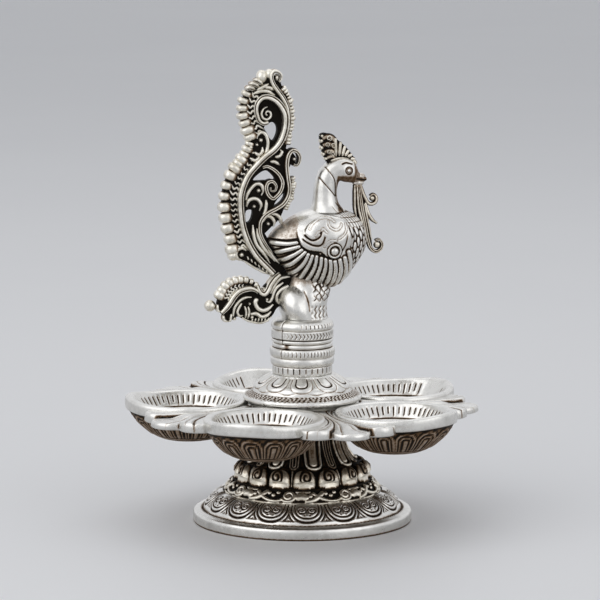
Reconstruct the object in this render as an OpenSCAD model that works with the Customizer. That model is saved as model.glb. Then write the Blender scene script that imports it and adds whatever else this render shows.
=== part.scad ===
// Peacock oil lamp stand: a round lotus foot, a bell pedestal, a tray of five petal cups
// and a cast peacock on a turned pillar, all held on one central rod.
// Millimetres. Z is up, the origin is the middle of the foot's underside,
// and the tray has a cup on -X. The peacock's own plane is U (towards the beak) and Z.

/* [Foot] */
// Radius of the polished rim
foot_r = 43.5; // [42:0.5:47]
// Height of the polished rim
foot_rim_h = 4.6; // [4:0.2:5.4]
// Height of the lotus dome, where the pedestal stands
foot_h = 12; // [11.5:0.5:13]
// Thickness of the foot's top web
foot_web = 2.8; // [2:0.2:3.4]

/* [Pedestal] */
// Radius of the overhanging vine band
band_r = 31.2; // [30:0.2:32]
// Radius of the neck under the tray
neck_r = 15.6; // [15:0.2:17]
// Number of bulging lobes round the pedestal
lobe_count = 16; // [12:2:18]
// Radius of one lobe
lobe_r = 4.3; // [3.6:0.1:4.6]
// Turn of the first lobe from +X
lobe_turn = 3; // [0:1:20]

/* [Tray] */
// Height of the tray's seat on the pedestal
tray_seat_z = 40; // [39:0.5:41]
// Height of the tray's flat top
tray_top_z = 47.5; // [47:0.5:49]
// Thickness of the tray's edge
tray_edge = 4; // [3:0.5:5]
// Height of a cup's rim above the tray's top
rim_rise = 1; // [0.6:0.2:1.4]
// Height of the collar's seat above the tray's top
seat_rise = 1.2; // [0.8:0.2:1.6]
// Number of petal cups
cup_count = 5; // [4:1:5]
// Distance from the axis to the middle of a cup
cup_pitch_r = 45; // [45:0.5:47]
// Radius of a cup's round opening
cup_r = 20.4; // [18:0.2:20.6]
// Depth of a cup below its rim
cup_depth = 9; // [6:0.5:10]
// Distance from the axis to a cup's pointed tip
cup_tip_r = 70.5; // [70.5:0.5:74]
// Depth of the bowl under the tray's edge
bowl_drop = 11; // [9:0.5:12]

/* [Collar and pillar] */
// Radius of the collar's ring on the tray
collar_r = 23.6; // [22:0.2:23.8]
// Height of the collar's top
collar_top_z = 59.2; // [58:0.2:60]
// Radius of the pillar
pillar_r = 12.4; // [11.5:0.1:13]
// Height of the pillar's top
pillar_top_z = 81.2; // [81:0.2:83]

/* [Peacock] */
// Turn of the peacock against the tray's line
bird_turn = 13; // [0:1:90]
// Thickness of the tail plume's plate
plume_t = 6.4; // [5:0.2:7]
// Thickness of the plume's main scroll
plume_rib_t = 9; // [8:0.5:10]
// Thickness of the lower tail's plate
lower_tail_t = 5; // [4:0.2:6]
// Thickness of the crest
crest_t = 4; // [3:0.2:4.4]
// Thickness of the garland
garland_t = 2.4; // [2:0.1:2.6]

/* [Rod and fasteners] */
// Radius of the central rod
rod_r = 3; // [2.5:0.1:3.2]
// Across-flats size of the nut
nut_af = 10; // [9:0.5:11]
// Radial running clearance round the rod
running_gap = 0.08; // [0.04:0.01:0.1]
// Clearance of a tang in its slot, on each side
slot_gap = 0.05; // [0.03:0.01:0.1]

/* [Hidden] */
$fn = 64;

bright_silver = [0.80, 0.79, 0.76];
aged_silver = [0.66, 0.64, 0.59];
dark_silver = [0.50, 0.48, 0.42];
plain_steel = [0.56, 0.57, 0.58];

bore_r = rod_r + running_gap;

// Stack under the foot's web
web_z = foot_h - foot_web;
washer_t = 1.4;
washer_r = 9;
lock_t = 1.5;
lock_r = 5;
lock_cut = 1;
nut_h = 4;
rod_low_z = 1.4;
rod_top_z = 69;
rod_chamfer = 0.6;

// Pillar and its two bores
peg_r = 4;
peg_low_z = 74;
peg_end_gap = 0.4;

// Tray heights
edge_z = tray_top_z - tray_edge;
rim_z = tray_top_z + rim_rise;
collar_z = tray_top_z + seat_rise;
bowl_z = edge_z - bowl_drop;
cup_floor_z = rim_z - cup_depth;
rim_wall = 3.2;
hub_r = 17;
seat_step = 1.4;
disc_r = 57;
fan_tip_r = 70;
fan_petal_r = 8;
fan_side_r = 7;
fan_side_turn = 12;
fan_side_reach = 66.5;
fan_step = 1.3;
rim_round = 0.6;

// Points along a smooth curve through the given points
function curve_point(a, b, c, d, t) =
    0.5 * (2 * b + (c - a) * t + (2 * a - 5 * b + 4 * c - d) * t * t + (3 * b - a - 3 * c + d) * t * t * t);
function open_curve(p, steps) = concat(
    [for (i = [0 : len(p) - 2], s = [0 : steps - 1])
        curve_point(p[max(i - 1, 0)], p[i], p[i + 1], p[min(i + 2, len(p) - 1)], s / steps)],
    [p[len(p) - 1]]);
function closed_curve(p, steps) = let (n = len(p))
    [for (i = [0 : n - 1], s = [0 : steps - 1])
        curve_point(p[(i + n - 1) % n], p[i], p[(i + 1) % n], p[(i + 2) % n], s / steps)];

// Outline of a strand of even width along a curve
function side_step(p, i) = let (d = p[min(i + 1, len(p) - 1)] - p[max(i - 1, 0)]) [-d[1], d[0]] / norm(d);
function strand(p, width) = concat(
    [for (i = [0 : len(p) - 1]) p[i] + side_step(p, i) * width / 2],
    [for (i = [len(p) - 1 : -1 : 0]) p[i] - side_step(p, i) * width / 2]);

// Elliptic ring square to the peacock's plane, at a slope from +U
function ring(u, z, slope, half_height, half_width, sides) =
    [for (i = [0 : sides - 1])
        let (t = 360 * i / sides, r = half_height * cos(t))
        [u - sin(slope) * r, half_width * sin(t), z + cos(slope) * r]];

// Level elliptic ring round the peacock's leg
function level_ring(u, z, half_length, half_width, sides) =
    [for (i = [0 : sides - 1])
        let (t = -360 * i / sides)
        [u + half_length * cos(t), half_width * sin(t), z]];

module loft(rings) {
    n = len(rings[0]);
    last = (len(rings) - 1) * n;
    sides = [for (j = [0 : len(rings) - 2], i = [0 : n - 1])
        let (a = j * n + i, b = j * n + (i + 1) % n)
        each [[a, b + n, a + n], [a, b, b + n]]];
    ends = [for (i = [1 : n - 2]) each [[0, i + 1, i], [last, last + i, last + i + 1]]];
    polyhedron(points = [for (r = rings) each r], faces = concat(sides, ends));
}

// A flat outline in U and Z, given a thickness across the peacock's plane
module plate(thickness) rotate([90, 0, 0]) linear_extrude(height = thickness, center = true) children();

module slot(u_low, u_high, z_low, z_high, width)
    translate([u_low, -width / 2, z_low]) cube([u_high - u_low, width, z_high - z_low]);

module turned_bird() rotate([0, 0, bird_turn]) children();

module foot() color(bright_silver) {
    groove_r = foot_r - 4;
    dome_r = groove_r - 0.2;
    top_r = band_r;
    dome_z = foot_rim_h + 0.6;
    wall = 3;
    flatness = 1.25;
    dome = [for (t = [0 : 15 : 90])
        [top_r + (dome_r - top_r) * pow(cos(t), flatness),
         dome_z + (foot_h - dome_z) * pow(sin(t), flatness)]];
    rotate_extrude() polygon(concat(
        [[foot_r - wall, 0], [foot_r, 0], [foot_r, foot_rim_h - 1], [foot_r - 0.3, foot_rim_h - 0.3],
         [foot_r - 1, foot_rim_h], [groove_r + 0.4, foot_rim_h + 0.4], [groove_r, foot_rim_h - 0.1]],
        dome,
        [[bore_r, foot_h], [bore_r, web_z], [top_r - wall, web_z], [dome_r - wall, dome_z - 1.5]]));
}

module pedestal_bell() color(aged_silver) {
    lobe_z = 19.9;
    lobe_ring_r = 27.3 - lobe_r;
    wall = 3.2;
    outer = [[band_r, foot_h], [band_r, foot_h + 1], [band_r - 0.7, foot_h + 2], [band_r - 2.2, foot_h + 4],
             [band_r - 3.8, foot_h + 5], [24, foot_h + 5.6], [24, 21], [22.8, 23.2],
             [neck_r + 4.7, 24.4], [neck_r + 2.3, 27.7], [neck_r + 0.7, 31.3], [neck_r, 35],
             [neck_r, tray_seat_z]];
    inner = [[bore_r, tray_seat_z], [bore_r, 36], [neck_r - wall, 33], [neck_r - 1.5, 28],
             [neck_r + 1.5, 22.5], [20, 18], [24, 15.5], [27, foot_h]];
    rotate_extrude() polygon(concat(outer, inner));
    for (i = [0 : lobe_count - 1])
        rotate([0, 0, lobe_turn + i * 360 / lobe_count]) translate([lobe_ring_r, 0, lobe_z])
            difference() {
                sphere(r = lobe_r);
                translate([-3 * lobe_r - 0.6, -lobe_r, -lobe_r]) cube([3 * lobe_r, 2 * lobe_r, 2 * lobe_r]);
            }
}

module tie_rod() color(plain_steel) rotate_extrude() polygon([
    [0, rod_low_z], [rod_r - rod_chamfer, rod_low_z], [rod_r, rod_low_z + rod_chamfer],
    [rod_r, rod_top_z - rod_chamfer], [rod_r - rod_chamfer, rod_top_z], [0, rod_top_z]]);

module flat_ring(low_z, height, outer_r, inner_r) rotate_extrude()
    translate([inner_r, low_z]) square([outer_r - inner_r, height]);

module clamp_washer() color(plain_steel) flat_ring(web_z - washer_t, washer_t, washer_r, bore_r);

module lock_washer() color(plain_steel) {
    low_z = web_z - washer_t - lock_t;
    difference() {
        flat_ring(low_z, lock_t, lock_r, bore_r);
        translate([0, -lock_cut / 2, low_z - 1]) cube([lock_r + 1, lock_cut, lock_t + 2]);
    }
}

module clamp_nut() color(plain_steel) {
    low_z = web_z - washer_t - lock_t - nut_h;
    difference() {
        translate([0, 0, low_z]) cylinder(h = nut_h, r = nut_af / 2 / cos(30), $fn = 6);
        translate([0, 0, low_z - 1]) cylinder(h = nut_h + 2, r = rod_r + slot_gap);
    }
}

// Pointed petal outline of a cup's rim, about the cup's middle
function petal(r, tip, heel) = [for (i = [0 : 47])
    let (t = i * 7.5, c = cos(t), reach = c > 0 ? tip : heel)
    (r + reach * pow(abs(c), 4)) * [c, sin(t)]];

module cup_places() for (i = [0 : cup_count - 1]) rotate([0, 0, 180 + i * 360 / cup_count]) children();

module cup_rims(r, tip) cup_places() translate([cup_pitch_r, 0]) polygon(petal(r, tip, 0.6));

module fan_sides() cup_places() for (side = [-1, 1])
    rotate(180 / cup_count + side * fan_side_turn) translate([fan_side_reach - fan_side_r, 0])
        circle(r = fan_side_r);

module fan_middles() cup_places()
    rotate(180 / cup_count) translate([fan_tip_r - fan_petal_r, 0]) circle(r = fan_petal_r);

module cup_bowl() rotate_extrude() polygon([
    [0, bowl_z], [6.8, bowl_z], [10.4, bowl_z + 0.5], [13.1, bowl_z + 1.5], [15.6, bowl_z + 3], [17.9, bowl_z + 5],
    [19.7, bowl_z + 7.4], [21.2, bowl_z + 10.1], [cup_r + rim_wall - 0.6, edge_z + 0.5], [0, edge_z + 0.5]]);

module cup_hollow() rotate_extrude() polygon([
    [0, cup_floor_z], [14, cup_floor_z + 0.6], [15.5, cup_floor_z + 1.8], [cup_r - 1.4, rim_z - 1.8],
    [cup_r, rim_z], [cup_r, rim_z + 1], [0, rim_z + 1]]);

module diya_tray() color(bright_silver) {
    outer_r = cup_r + rim_wall;
    tip = cup_tip_r - cup_pitch_r - outer_r;
    difference() {
        union() {
            translate([0, 0, edge_z]) linear_extrude(height = tray_edge - fan_step) {
                circle(r = disc_r);
                cup_rims(outer_r, tip);
                fan_sides();
                fan_middles();
            }
            translate([0, 0, tray_top_z - fan_step]) linear_extrude(height = fan_step) {
                circle(r = disc_r);
                cup_rims(outer_r, tip);
                fan_sides();
            }
            translate([0, 0, tray_top_z]) linear_extrude(height = rim_rise - rim_round) difference() {
                cup_rims(outer_r, tip);
                circle(r = collar_r + 0.5);
            }
            translate([0, 0, rim_z - rim_round]) linear_extrude(height = rim_round) difference() {
                cup_rims(outer_r - rim_round, tip);
                circle(r = collar_r + 0.5);
            }
            translate([0, 0, tray_seat_z]) cylinder(h = edge_z - tray_seat_z + 1, r = hub_r);
            translate([0, 0, tray_top_z - 1]) cylinder(h = seat_rise + 1, r = collar_r - seat_step);
            cup_places() translate([cup_pitch_r, 0, 0]) cup_bowl();
        }
        cup_places() translate([cup_pitch_r, 0, 0]) cup_hollow();
        translate([0, 0, tray_seat_z - 1]) cylinder(h = collar_z - tray_seat_z + 2, r = bore_r);
    }
}

module lotus_collar() color(bright_silver) {
    groove_z = collar_z + 2.9;
    rotate_extrude() polygon([
        [bore_r, collar_z], [collar_r - 0.8, collar_z], [collar_r, collar_z + 0.9],
        [collar_r - 0.1, collar_z + 1.6], [collar_r - 1, collar_z + 2.5], [collar_r - 2.4, groove_z - 0.2],
        [collar_r - 3.2, groove_z + 0.4], [collar_r - 4, groove_z + 0.9], [collar_r - 4.2, groove_z + 2.2],
        [collar_r - 5, groove_z + 3.5], [collar_r - 7, groove_z + 4.9], [collar_r - 9.6, groove_z + 6.3],
        [pillar_r + 0.2, collar_top_z - 0.5], [pillar_r, collar_top_z], [bore_r, collar_top_z]]);
}

module pillar() color(bright_silver) difference() {
    groove = 0.8;
    band_tops = [62.8, 66.2, 69.8, 71.8, 73.5, 77.2];
    band_swell = [-0.5, 0.2, 0.4, -0.4, -0.1, -0.1];
    bands = [for (i = [0 : len(band_tops) - 1])
        let (low = (i == 0 ? collar_top_z : band_tops[i - 1]),
             high = band_tops[i],
             r = pillar_r + band_swell[i])
        each [[r - groove, low], [r, low + 0.4], [r, high - 0.4], [r - groove, high]]];
    rotate_extrude() polygon(concat([[0, collar_top_z]], bands,
        [[pillar_r, band_tops[5] + 0.4], [pillar_r, 79.2], [pillar_r - 2, pillar_top_z], [0, pillar_top_z]]));
    translate([0, 0, collar_top_z - 1]) cylinder(h = rod_top_z - collar_top_z + 2, r = bore_r);
    translate([0, 0, peg_low_z - peg_end_gap])
        cylinder(h = pillar_top_z - peg_low_z + peg_end_gap + 1, r = peg_r + slot_gap);
}

// Peacock body: stations along U are [U, top, bottom, half width]
body_stations = [[-14, 113.7, 111.6, 1.9], [-11.7, 116.3, 107.9, 5.8], [-8.8, 118.6, 102.6, 8.4],
                 [-4.9, 121.3, 98.1, 10.5], [0, 123.7, 95.8, 11.9], [4.9, 124.8, 94.6, 12.5],
                 [9.7, 125.2, 93.7, 12.5], [13.6, 124.8, 94.3, 11.9], [17.5, 123.9, 97.6, 10.5],
                 [21.4, 121.7, 102, 8.2], [24.3, 118.4, 106.3, 5.1], [25.7, 114.1, 109.8, 1.9]];
// Leg and drapery under the body: [U, Z, half length, half width]
leg_stations = [[1.2, pillar_top_z, 9.2, 8.4], [1.2, 83.9, 8.8, 8], [1.6, 87.8, 8.4, 7.8],
                [2.3, 91.2, 8.9, 7.2], [3, 94.6, 8.6, 5.6], [3.9, 99, 8, 5]];
// Neck, head and beak: [U, Z, slope, half height, half width]
neck_seat_z = 123.5;
neck_stations = [[9.9, neck_seat_z, 90, 7, 7], [9.3, 126.6, 90, 5.3, 5.4], [9.1, 130, 90, 4.7, 4.8],
                 [9.5, 133.8, 84, 4.6, 4.6], [10.7, 137.3, 62, 4.6, 4.5], [13.2, 139.4, 28, 4.6, 4.5],
                 [16.4, 139.9, 4, 5, 4.6], [19.2, 139.1, -14, 4.5, 4.1], [21.1, 137.5, -16, 3.2, 3.1],
                 [22.6, 136.6, -8, 2, 1.9], [24.4, 136.1, -6, 1.5, 1.3], [25.9, 135.8, -6, 0.5, 0.5]];
neck_peg_r = 3;
neck_peg_z = 116.1;

// Feather ribs of a wing, as [U, Z] from the shoulder outwards
wing_ribs = [
    [[-4.5, 112.5], [-6.9, 112], [-9.2, 112], [-11.4, 112]], [[-3.6, 111], [-6.4, 110.1], [-8.9, 109.3], [-11, 108.4]],
    [[-2.6, 109.7], [-4.8, 108.1], [-7.2, 106.6], [-9.3, 105.3]],
    [[-1.3, 108.8], [-3.5, 106.5], [-5.9, 104.2], [-8, 102.8]],
    [[-0.1, 107.9], [-1.4, 104.7], [-3.5, 101.8], [-5.8, 99.8]],
    [[1.5, 107.3], [0.4, 103.8], [-0.9, 100.8], [-1.9, 98.2]], [[3.2, 107], [2.8, 103.4], [1.7, 99.7], [0.7, 97]],
    [[5.1, 106.4], [4.9, 103], [4, 99], [3.3, 96]], [[6.8, 105.9], [6.9, 102.3], [6.3, 98.3], [5.6, 95.4]],
    [[8.7, 105.3], [9.1, 101.5], [8.8, 97.5], [7.9, 95]], [[10.6, 104.8], [11.2, 101], [10.9, 97.1], [10.1, 94.9]],
    [[12.6, 105.3], [13.4, 101.3], [13.1, 97.7], [12.2, 95.3]], [[14.7, 106], [15.6, 102.1], [15.6, 98.4], [14.7, 96.2]],
    [[16.4, 108.3], [17.4, 104.1], [17.6, 100.9], [17, 98.6]]];
rib_rise = 0.6;
rib_root = 0.8;
rib_half_width = [0.6, 0.75, 0.9, 1];

// Skin of the body at a point of its side, as [half width there, Z, and the two parts of the outward slope]
function station_at(u, column) = lookup(u, [for (s = body_stations) [s[0], s[column]]]);
function skin(p) =
    let (top = station_at(p[0], 1), low = station_at(p[0], 2), wide = station_at(p[0], 3),
         half = (top - low) / 2, share = max(-0.96, min(0.96, (p[1] - (top + low) / 2) / half)),
         side = wide * sqrt(1 - share * share), slope = [side / wide / wide, share / half])
    [side, (top + low) / 2 + share * half, each slope / norm(slope)];
function rib_ring(p, across, half_width) =
    [for (s = [[0, rib_rise], [-0.8, rib_rise / 2], [-1, -rib_root], [1, -rib_root], [0.8, rib_rise / 2]])
        let (spot = p + across * s[0] * half_width, k = skin(spot))
        [spot[0], k[0] + k[2] * s[1], k[1] + k[3] * s[1]]];

module wing_rib(path) loft([for (i = [0 : len(path) - 1]) rib_ring(path[i], side_step(path, i), rib_half_width[i])]);

// Slots that take the tangs, as [U low, U high, Z low, Z high]
plume_slot = [-19.5, -4.9, 99.1, 112.6];
tail_slot = [-15.6, -4.2, 87.3, 98.3];
crest_slot = [8.8, 22.9, 141.8, 150.2];
beak_slot = [20.1, 25.1, 127, 135.6];
breast_slot = [24.2, 33.1, 105.2, 122.9];

module cut_slot(s, thickness) slot(s[0], s[1], s[2], s[3], thickness + 2 * slot_gap);

// A plump ellipsoid about its own middle
module plump(half_length, half_width, half_height) loft([for (t = [-81 : 18 : 81])
    ring(half_length * sin(t), 0, 0, half_height * cos(t), half_width * cos(t), 16)]);

module peacock_body() color(bright_silver) turned_bird() difference() {
    wing = [8.4, 9.2, 114.1];
    union() {
        loft([for (s = open_curve(body_stations, 2))
            ring(s[0], (s[1] + s[2]) / 2, 0, (s[1] - s[2]) / 2, s[3], 28)]);
        loft([for (s = open_curve(leg_stations, 2)) level_ring(s[0], s[1], s[2], s[3], 28)]);
        for (side = [-1, 1]) translate([wing[0], side * wing[1], wing[2]]) plump(10.5, 4.8, 7.6);
        for (side = [0, 1], path = wing_ribs) mirror([0, side, 0]) wing_rib(path);
        translate([0, 0, peg_low_z]) cylinder(h = pillar_top_z - peg_low_z + 1, r = peg_r);
    }
    slot(-20, 40, neck_seat_z, neck_seat_z + 12, 40);
    translate([neck_stations[0][0], 0, neck_peg_z - peg_end_gap])
        cylinder(h = neck_seat_z - neck_peg_z + 2, r = neck_peg_r + slot_gap);
    cut_slot(plume_slot, plume_t);
    cut_slot(tail_slot, lower_tail_t);
    cut_slot(breast_slot, garland_t);
}

module neck_head() color(bright_silver) turned_bird() difference() {
    union() {
        loft([for (s = open_curve(neck_stations, 3)) ring(s[0], s[1], s[2], s[3], s[4], 20)]);
        translate([neck_stations[0][0], 0, neck_peg_z])
            cylinder(h = neck_seat_z - neck_peg_z + 1, r = neck_peg_r);
    }
    cut_slot(crest_slot, crest_t);
    cut_slot(beak_slot, garland_t);
}

module crest() color(aged_silver) turned_bird() {
    tip_t = crest_t - 0.6;
    fan = open_curve([[8.6, 153.6], [13.3, 151.5], [16.5, 149], [19.1, 146.1], [20.2, 143.3]], 6);
    back = open_curve([[8.6, 153.6], [8, 149.6], [8.9, 145.6]], 4);
    plate(crest_t) polygon(concat(fan, [[20.9, crest_slot[2]], [11, crest_slot[2]]],
        [for (i = [len(back) - 1 : -1 : 1]) back[i]]));
    plate(tip_t) bead_row(fan, 7, 1.3);
    plate(tip_t) bead_row(back, 4, 1.2);
}

module beak_garland() color(aged_silver) turned_bird() {
    ribbon_t = garland_t - 0.4;
    top_z = beak_slot[3];
    ribbon = open_curve([[23, top_z - 0.1], [22.8, 131.4], [23.8, 125.5], [25.4, 119.5], [26.6, 114.5],
                         [27.4, 109.5]], 5);
    leaf = open_curve([[24, 130.5], [25.9, 125.4], [28, 121.2], [29.9, 118.2]], 4);
    plate(garland_t) polygon([[22.2, top_z - 1], [20.6, 127.5], [20.6, 122.6], [23.1, 121.4], [26.1, 115.3],
                              [24.3, 130.6], [24.4, top_z - 1]]);
    plate(ribbon_t) polygon(strand(ribbon, 2.8));
    plate(ribbon_t) polygon(strand(leaf, 2));
    plate(garland_t) translate([27.7, 127.9]) circle(r = 2.3);
    plate(ribbon_t) translate([25.8, 127.1]) circle(r = 2);
    plate(garland_t) translate([29.7, 109.6]) circle(r = 3);
    plate(ribbon_t) translate([27.3, 107.9]) circle(r = 2.2);
}

// Rows of gadroons along a curve
module bead_row(path, count, r) for (i = [0 : count - 1])
    translate(path[round(i * (len(path) - 1) / (count - 1))]) circle(r = r);

module tail_plume() color(dark_silver) turned_bird() {
    gadroon_r = 2;
    tooth_r = 1;
    left_low = [[-25.9, 105], [-28.4, 109.6], [-29.4, 114.5], [-31, 120.5], [-31.6, 126.2], [-31.6, 130.5],
                [-30.6, 135], [-28.4, 138.7], [-24.3, 143.7]];
    left_high = [[-20.8, 153.7], [-23.6, 159.3], [-24.2, 164.4], [-22, 169.6]];
    right_high = [[-6, 172], [-4.5, 165], [-4.9, 160.3], [-5.8, 154.4]];
    right_low = [[-4.3, 136.9], [-4.3, 131.3], [-7, 125.2]];
    edge = closed_curve(concat(
        [[-5.5, 100.5], [-13.2, 99.7], [-19.9, 102.2]], left_low, [[-20.3, 149.6]], left_high,
        [[-16.2, 172.8], [-15.2, 176], [-12.3, 178.3], [-8.6, 176]], right_high,
        [[-6.4, 148.6], [-4.5, 144.5], [-5.8, 140.4]], right_low,
        [[-8.6, 120.5], [-12.1, 117.2], [-15, 115.3], [-14, 112.2], [-6.4, 111.6]]), 4);
    upper_eye = closed_curve(
        [[-14.2, 159.9], [-11.5, 158.5], [-11.1, 155.4], [-12.7, 153.5], [-14.2, 155.6]], 4);
    middle_eye = closed_curve(
        [[-19.5, 136.9], [-17.1, 140.4], [-13.2, 141], [-11.3, 138.1], [-14.6, 136.5]], 4);
    right_eye = closed_curve(
        [[-12.1, 126.2], [-10.9, 128.9], [-8.2, 131.3], [-7.4, 129.9], [-9.2, 127.4]], 4);
    lower_eye = closed_curve([[-22.2, 120.4], [-22.4, 124.4], [-19.5, 124.3], [-18.9, 120.9]], 4);
    spine = open_curve([[-17.1, 105.2], [-21.3, 111], [-23.9, 118.5], [-24.7, 124.8], [-24.2, 130.7],
                        [-21.6, 138], [-16.9, 143.6], [-13.5, 146.3], [-9.1, 150.9], [-7.1, 156.5],
                        [-7.4, 161.5], [-9.1, 165.4], [-12.7, 168.4], [-15.6, 168.1], [-17.4, 165.4],
                        [-17.4, 162.2], [-15.6, 160.3]], 4);
    stem = open_curve([[-6.5, 144.3], [-6.2, 140.2], [-4.8, 135], [-5.3, 130.5], [-7.7, 126.9],
                       [-11.3, 124.1], [-15.8, 120.9], [-16.8, 117.6]], 4);
    plate(plume_t) difference() {
        union() {
            polygon(edge);
            bead_row(open_curve(left_low, 6), 13, gadroon_r);
            bead_row(open_curve(left_high, 6), 6, gadroon_r);
            bead_row(open_curve(right_high, 6), 9, tooth_r);
            bead_row(open_curve(right_low, 6), 6, tooth_r);
            translate([-15.1, 176.4]) circle(r = 3);
            translate([-10.1, 175.9]) circle(r = 2.8);
            translate([-3.5, 144.5]) circle(r = 3.3);
        }
        polygon(upper_eye);
        polygon(middle_eye);
        polygon(right_eye);
        polygon(lower_eye);
    }
    plate(plume_rib_t) polygon(strand(spine, 2.6));
    plate(plume_rib_t - 1) polygon(strand(stem, 1.8));
}

module lower_tail() color(dark_silver) turned_bird() {
    gadroon_r = 1.7;
    top = [[-17.9, 96], [-20.8, 96.6], [-23.6, 96.8], [-27.1, 96], [-30.2, 93.5], [-33.1, 89.6]];
    edge = closed_curve(concat([[-5.1, 97.6], [-11.7, 96.4]], top, [[-36, 86.7], [-33.5, 84.9],
        [-31.6, 82], [-28.8, 80.6], [-25.9, 81], [-21.4, 80.6], [-16.8, 79.8], [-14, 80.6], [-11.7, 83.5],
        [-9, 87.4], [-5.1, 88.8]]), 4);
    rib = open_curve([[-31, 84.5], [-28.1, 89.1], [-23.1, 92.8], [-18, 91.9], [-17.3, 89], [-15.2, 85.9]], 4);
    plate(lower_tail_t) {
        polygon(edge);
        bead_row(open_curve(top, 6), 8, gadroon_r);
        translate([-37, 86.7]) circle(r = 2.3);
    }
    plate(lower_tail_t + 2) polygon(strand(rib, 2));
}

foot();
pedestal_bell();
tie_rod();
clamp_washer();
lock_washer();
clamp_nut();
diya_tray();
lotus_collar();
pillar();
peacock_body();
neck_head();
crest();
beak_garland();
tail_plume();
lower_tail();
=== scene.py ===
"""Looks of the peacock oil lamp stand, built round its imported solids.

Lengths are in millimetres until a mesh is made.
"""
import math

import bpy
import numpy as np
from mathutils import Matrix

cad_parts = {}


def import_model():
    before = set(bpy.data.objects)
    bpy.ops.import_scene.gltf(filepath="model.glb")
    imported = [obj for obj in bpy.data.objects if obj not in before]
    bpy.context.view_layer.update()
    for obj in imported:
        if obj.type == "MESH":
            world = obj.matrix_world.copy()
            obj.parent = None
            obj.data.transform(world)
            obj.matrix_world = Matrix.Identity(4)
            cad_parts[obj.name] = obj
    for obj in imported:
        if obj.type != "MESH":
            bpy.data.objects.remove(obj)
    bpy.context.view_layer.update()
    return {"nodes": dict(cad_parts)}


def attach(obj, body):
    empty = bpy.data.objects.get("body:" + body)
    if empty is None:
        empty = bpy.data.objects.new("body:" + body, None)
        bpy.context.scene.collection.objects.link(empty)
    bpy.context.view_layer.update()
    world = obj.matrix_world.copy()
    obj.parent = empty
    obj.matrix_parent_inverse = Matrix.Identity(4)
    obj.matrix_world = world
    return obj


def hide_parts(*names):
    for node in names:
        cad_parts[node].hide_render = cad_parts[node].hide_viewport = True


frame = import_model()

MM = 0.001
TURN = 2 * math.pi
BIRD_TURN = math.radians(13)
FAR = 1e6
BORE_R = 3.08
# Levels at which one casting stands on the next
FOOT_TOP, BELL_TOP, SEAT_TOP, COLLAR_TOP, PILLAR_TOP = 12, 40, 48.7, 59.2, 81.2


# Curves and profiles

def smooth_path(points, steps=8, closed=False):
    """A smooth curve through the points."""
    p = np.array(points, float)
    n = len(p)
    out = []
    for i in range(n if closed else n - 1):
        if closed:
            a, b, c, d = p[i - 1], p[i], p[(i + 1) % n], p[(i + 2) % n]
        else:
            a, b, c, d = p[max(i - 1, 0)], p[i], p[i + 1], p[min(i + 2, n - 1)]
        for t in np.arange(steps) / steps:
            out.append(0.5 * (2 * b + (c - a) * t + (2 * a - 5 * b + 4 * c - d) * t * t
                              + (3 * b - a - 3 * c + d) * t ** 3))
    if not closed:
        out.append(p[-1])
    return np.array(out)


def resample(points, step):
    """Points about one step apart along a line, and how far along each is."""
    p = np.array(points, float)
    at = np.concatenate([[0], np.cumsum(np.linalg.norm(np.diff(p, axis=0), axis=1))])
    want = np.linspace(0, at[-1], max(2, int(round(at[-1] / step)) + 1))
    return np.stack([np.interp(want, at, p[:, k]) for k in range(p.shape[1])], 1), want


def eased(points, rounds=2):
    """The same line with its corners cut round."""
    p = np.array(points, float)
    for _ in range(rounds):
        near, far = 0.75 * p[:-1] + 0.25 * p[1:], 0.25 * p[:-1] + 0.75 * p[1:]
        p = np.concatenate([p[:1], np.stack([near, far], 1).reshape(-1, 2), p[-1:]])
    return p


def curl(centre, r_out, r_in, start, turn):
    """A spiral from the outside in, with its angles in degrees."""
    count = 28
    t = np.linspace(0, 1, count)
    a = np.radians(start + turn * t)
    r = r_out + (r_in - r_out) * t
    return np.array(centre) + np.stack([r * np.cos(a), r * np.sin(a)], 1)


def path_gap(x, y, path):
    """Distance of every point from a line of points."""
    best = np.full(np.broadcast(x, y).shape, FAR)
    for a, b in zip(path[:-1], path[1:]):
        d = b - a
        t = np.clip(((x - a[0]) * d[0] + (y - a[1]) * d[1]) / max(d @ d, 1e-9), 0, 1)
        best = np.minimum(best, np.hypot(x - a[0] - t * d[0], y - a[1] - t * d[1]))
    return best


def line(gap, width):
    """A soft line, 1 on its middle."""
    return np.exp(-(gap / width) ** 2)


def rise(x, low, high):
    """A smooth step from 0 at low to 1 at high."""
    t = np.clip((x - low) / (high - low), 0, 1)
    return t * t * (3 - 2 * t)


def half_round(gap, width):
    """A round-topped ridge, 1 on its middle and 0 past its width."""
    return np.sqrt(np.clip(1 - (gap / width) ** 2, 0, 1))


def off_nearest(x):
    """How far each value is from the nearest whole number."""
    return x - np.round(x)


def petal(x, y, half_width, shoulder, length, power):
    """1 on the outline of a petal with its tip down and straight sides above its shoulder, less inside it."""
    down = np.minimum(y - shoulder, 0)
    return (np.abs(x / half_width) ** power + np.abs(down / length) ** power) ** (1 / power)


def spiral_line(x, y, pitch, reach, width, hand=1):
    """A spiral line about the origin, out to its reach."""
    rho = np.hypot(x, y)
    wind = rho / pitch - hand * np.arctan2(y, x) / TURN
    return line(off_nearest(wind) * pitch, width) * (1 - rise(rho, reach - 0.25, reach + 0.25))


# Meshes

class Casting:
    """Shells of one piece, gathered before they become one mesh. dark is 1 in the oxidised hollows and where
    shade is painted.
    """

    def __init__(self):
        self.co, self.faces, self.dark, self.size = [], [], [], 0

    def add(self, co, faces, dark):
        co = np.asarray(co, float)
        self.co.append(co)
        self.dark.append(np.broadcast_to(np.asarray(dark, float), (len(co),)))
        self.faces += [[i + self.size for i in f] for f in outward(co, faces)]
        self.size += len(co)
        return self


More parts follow.
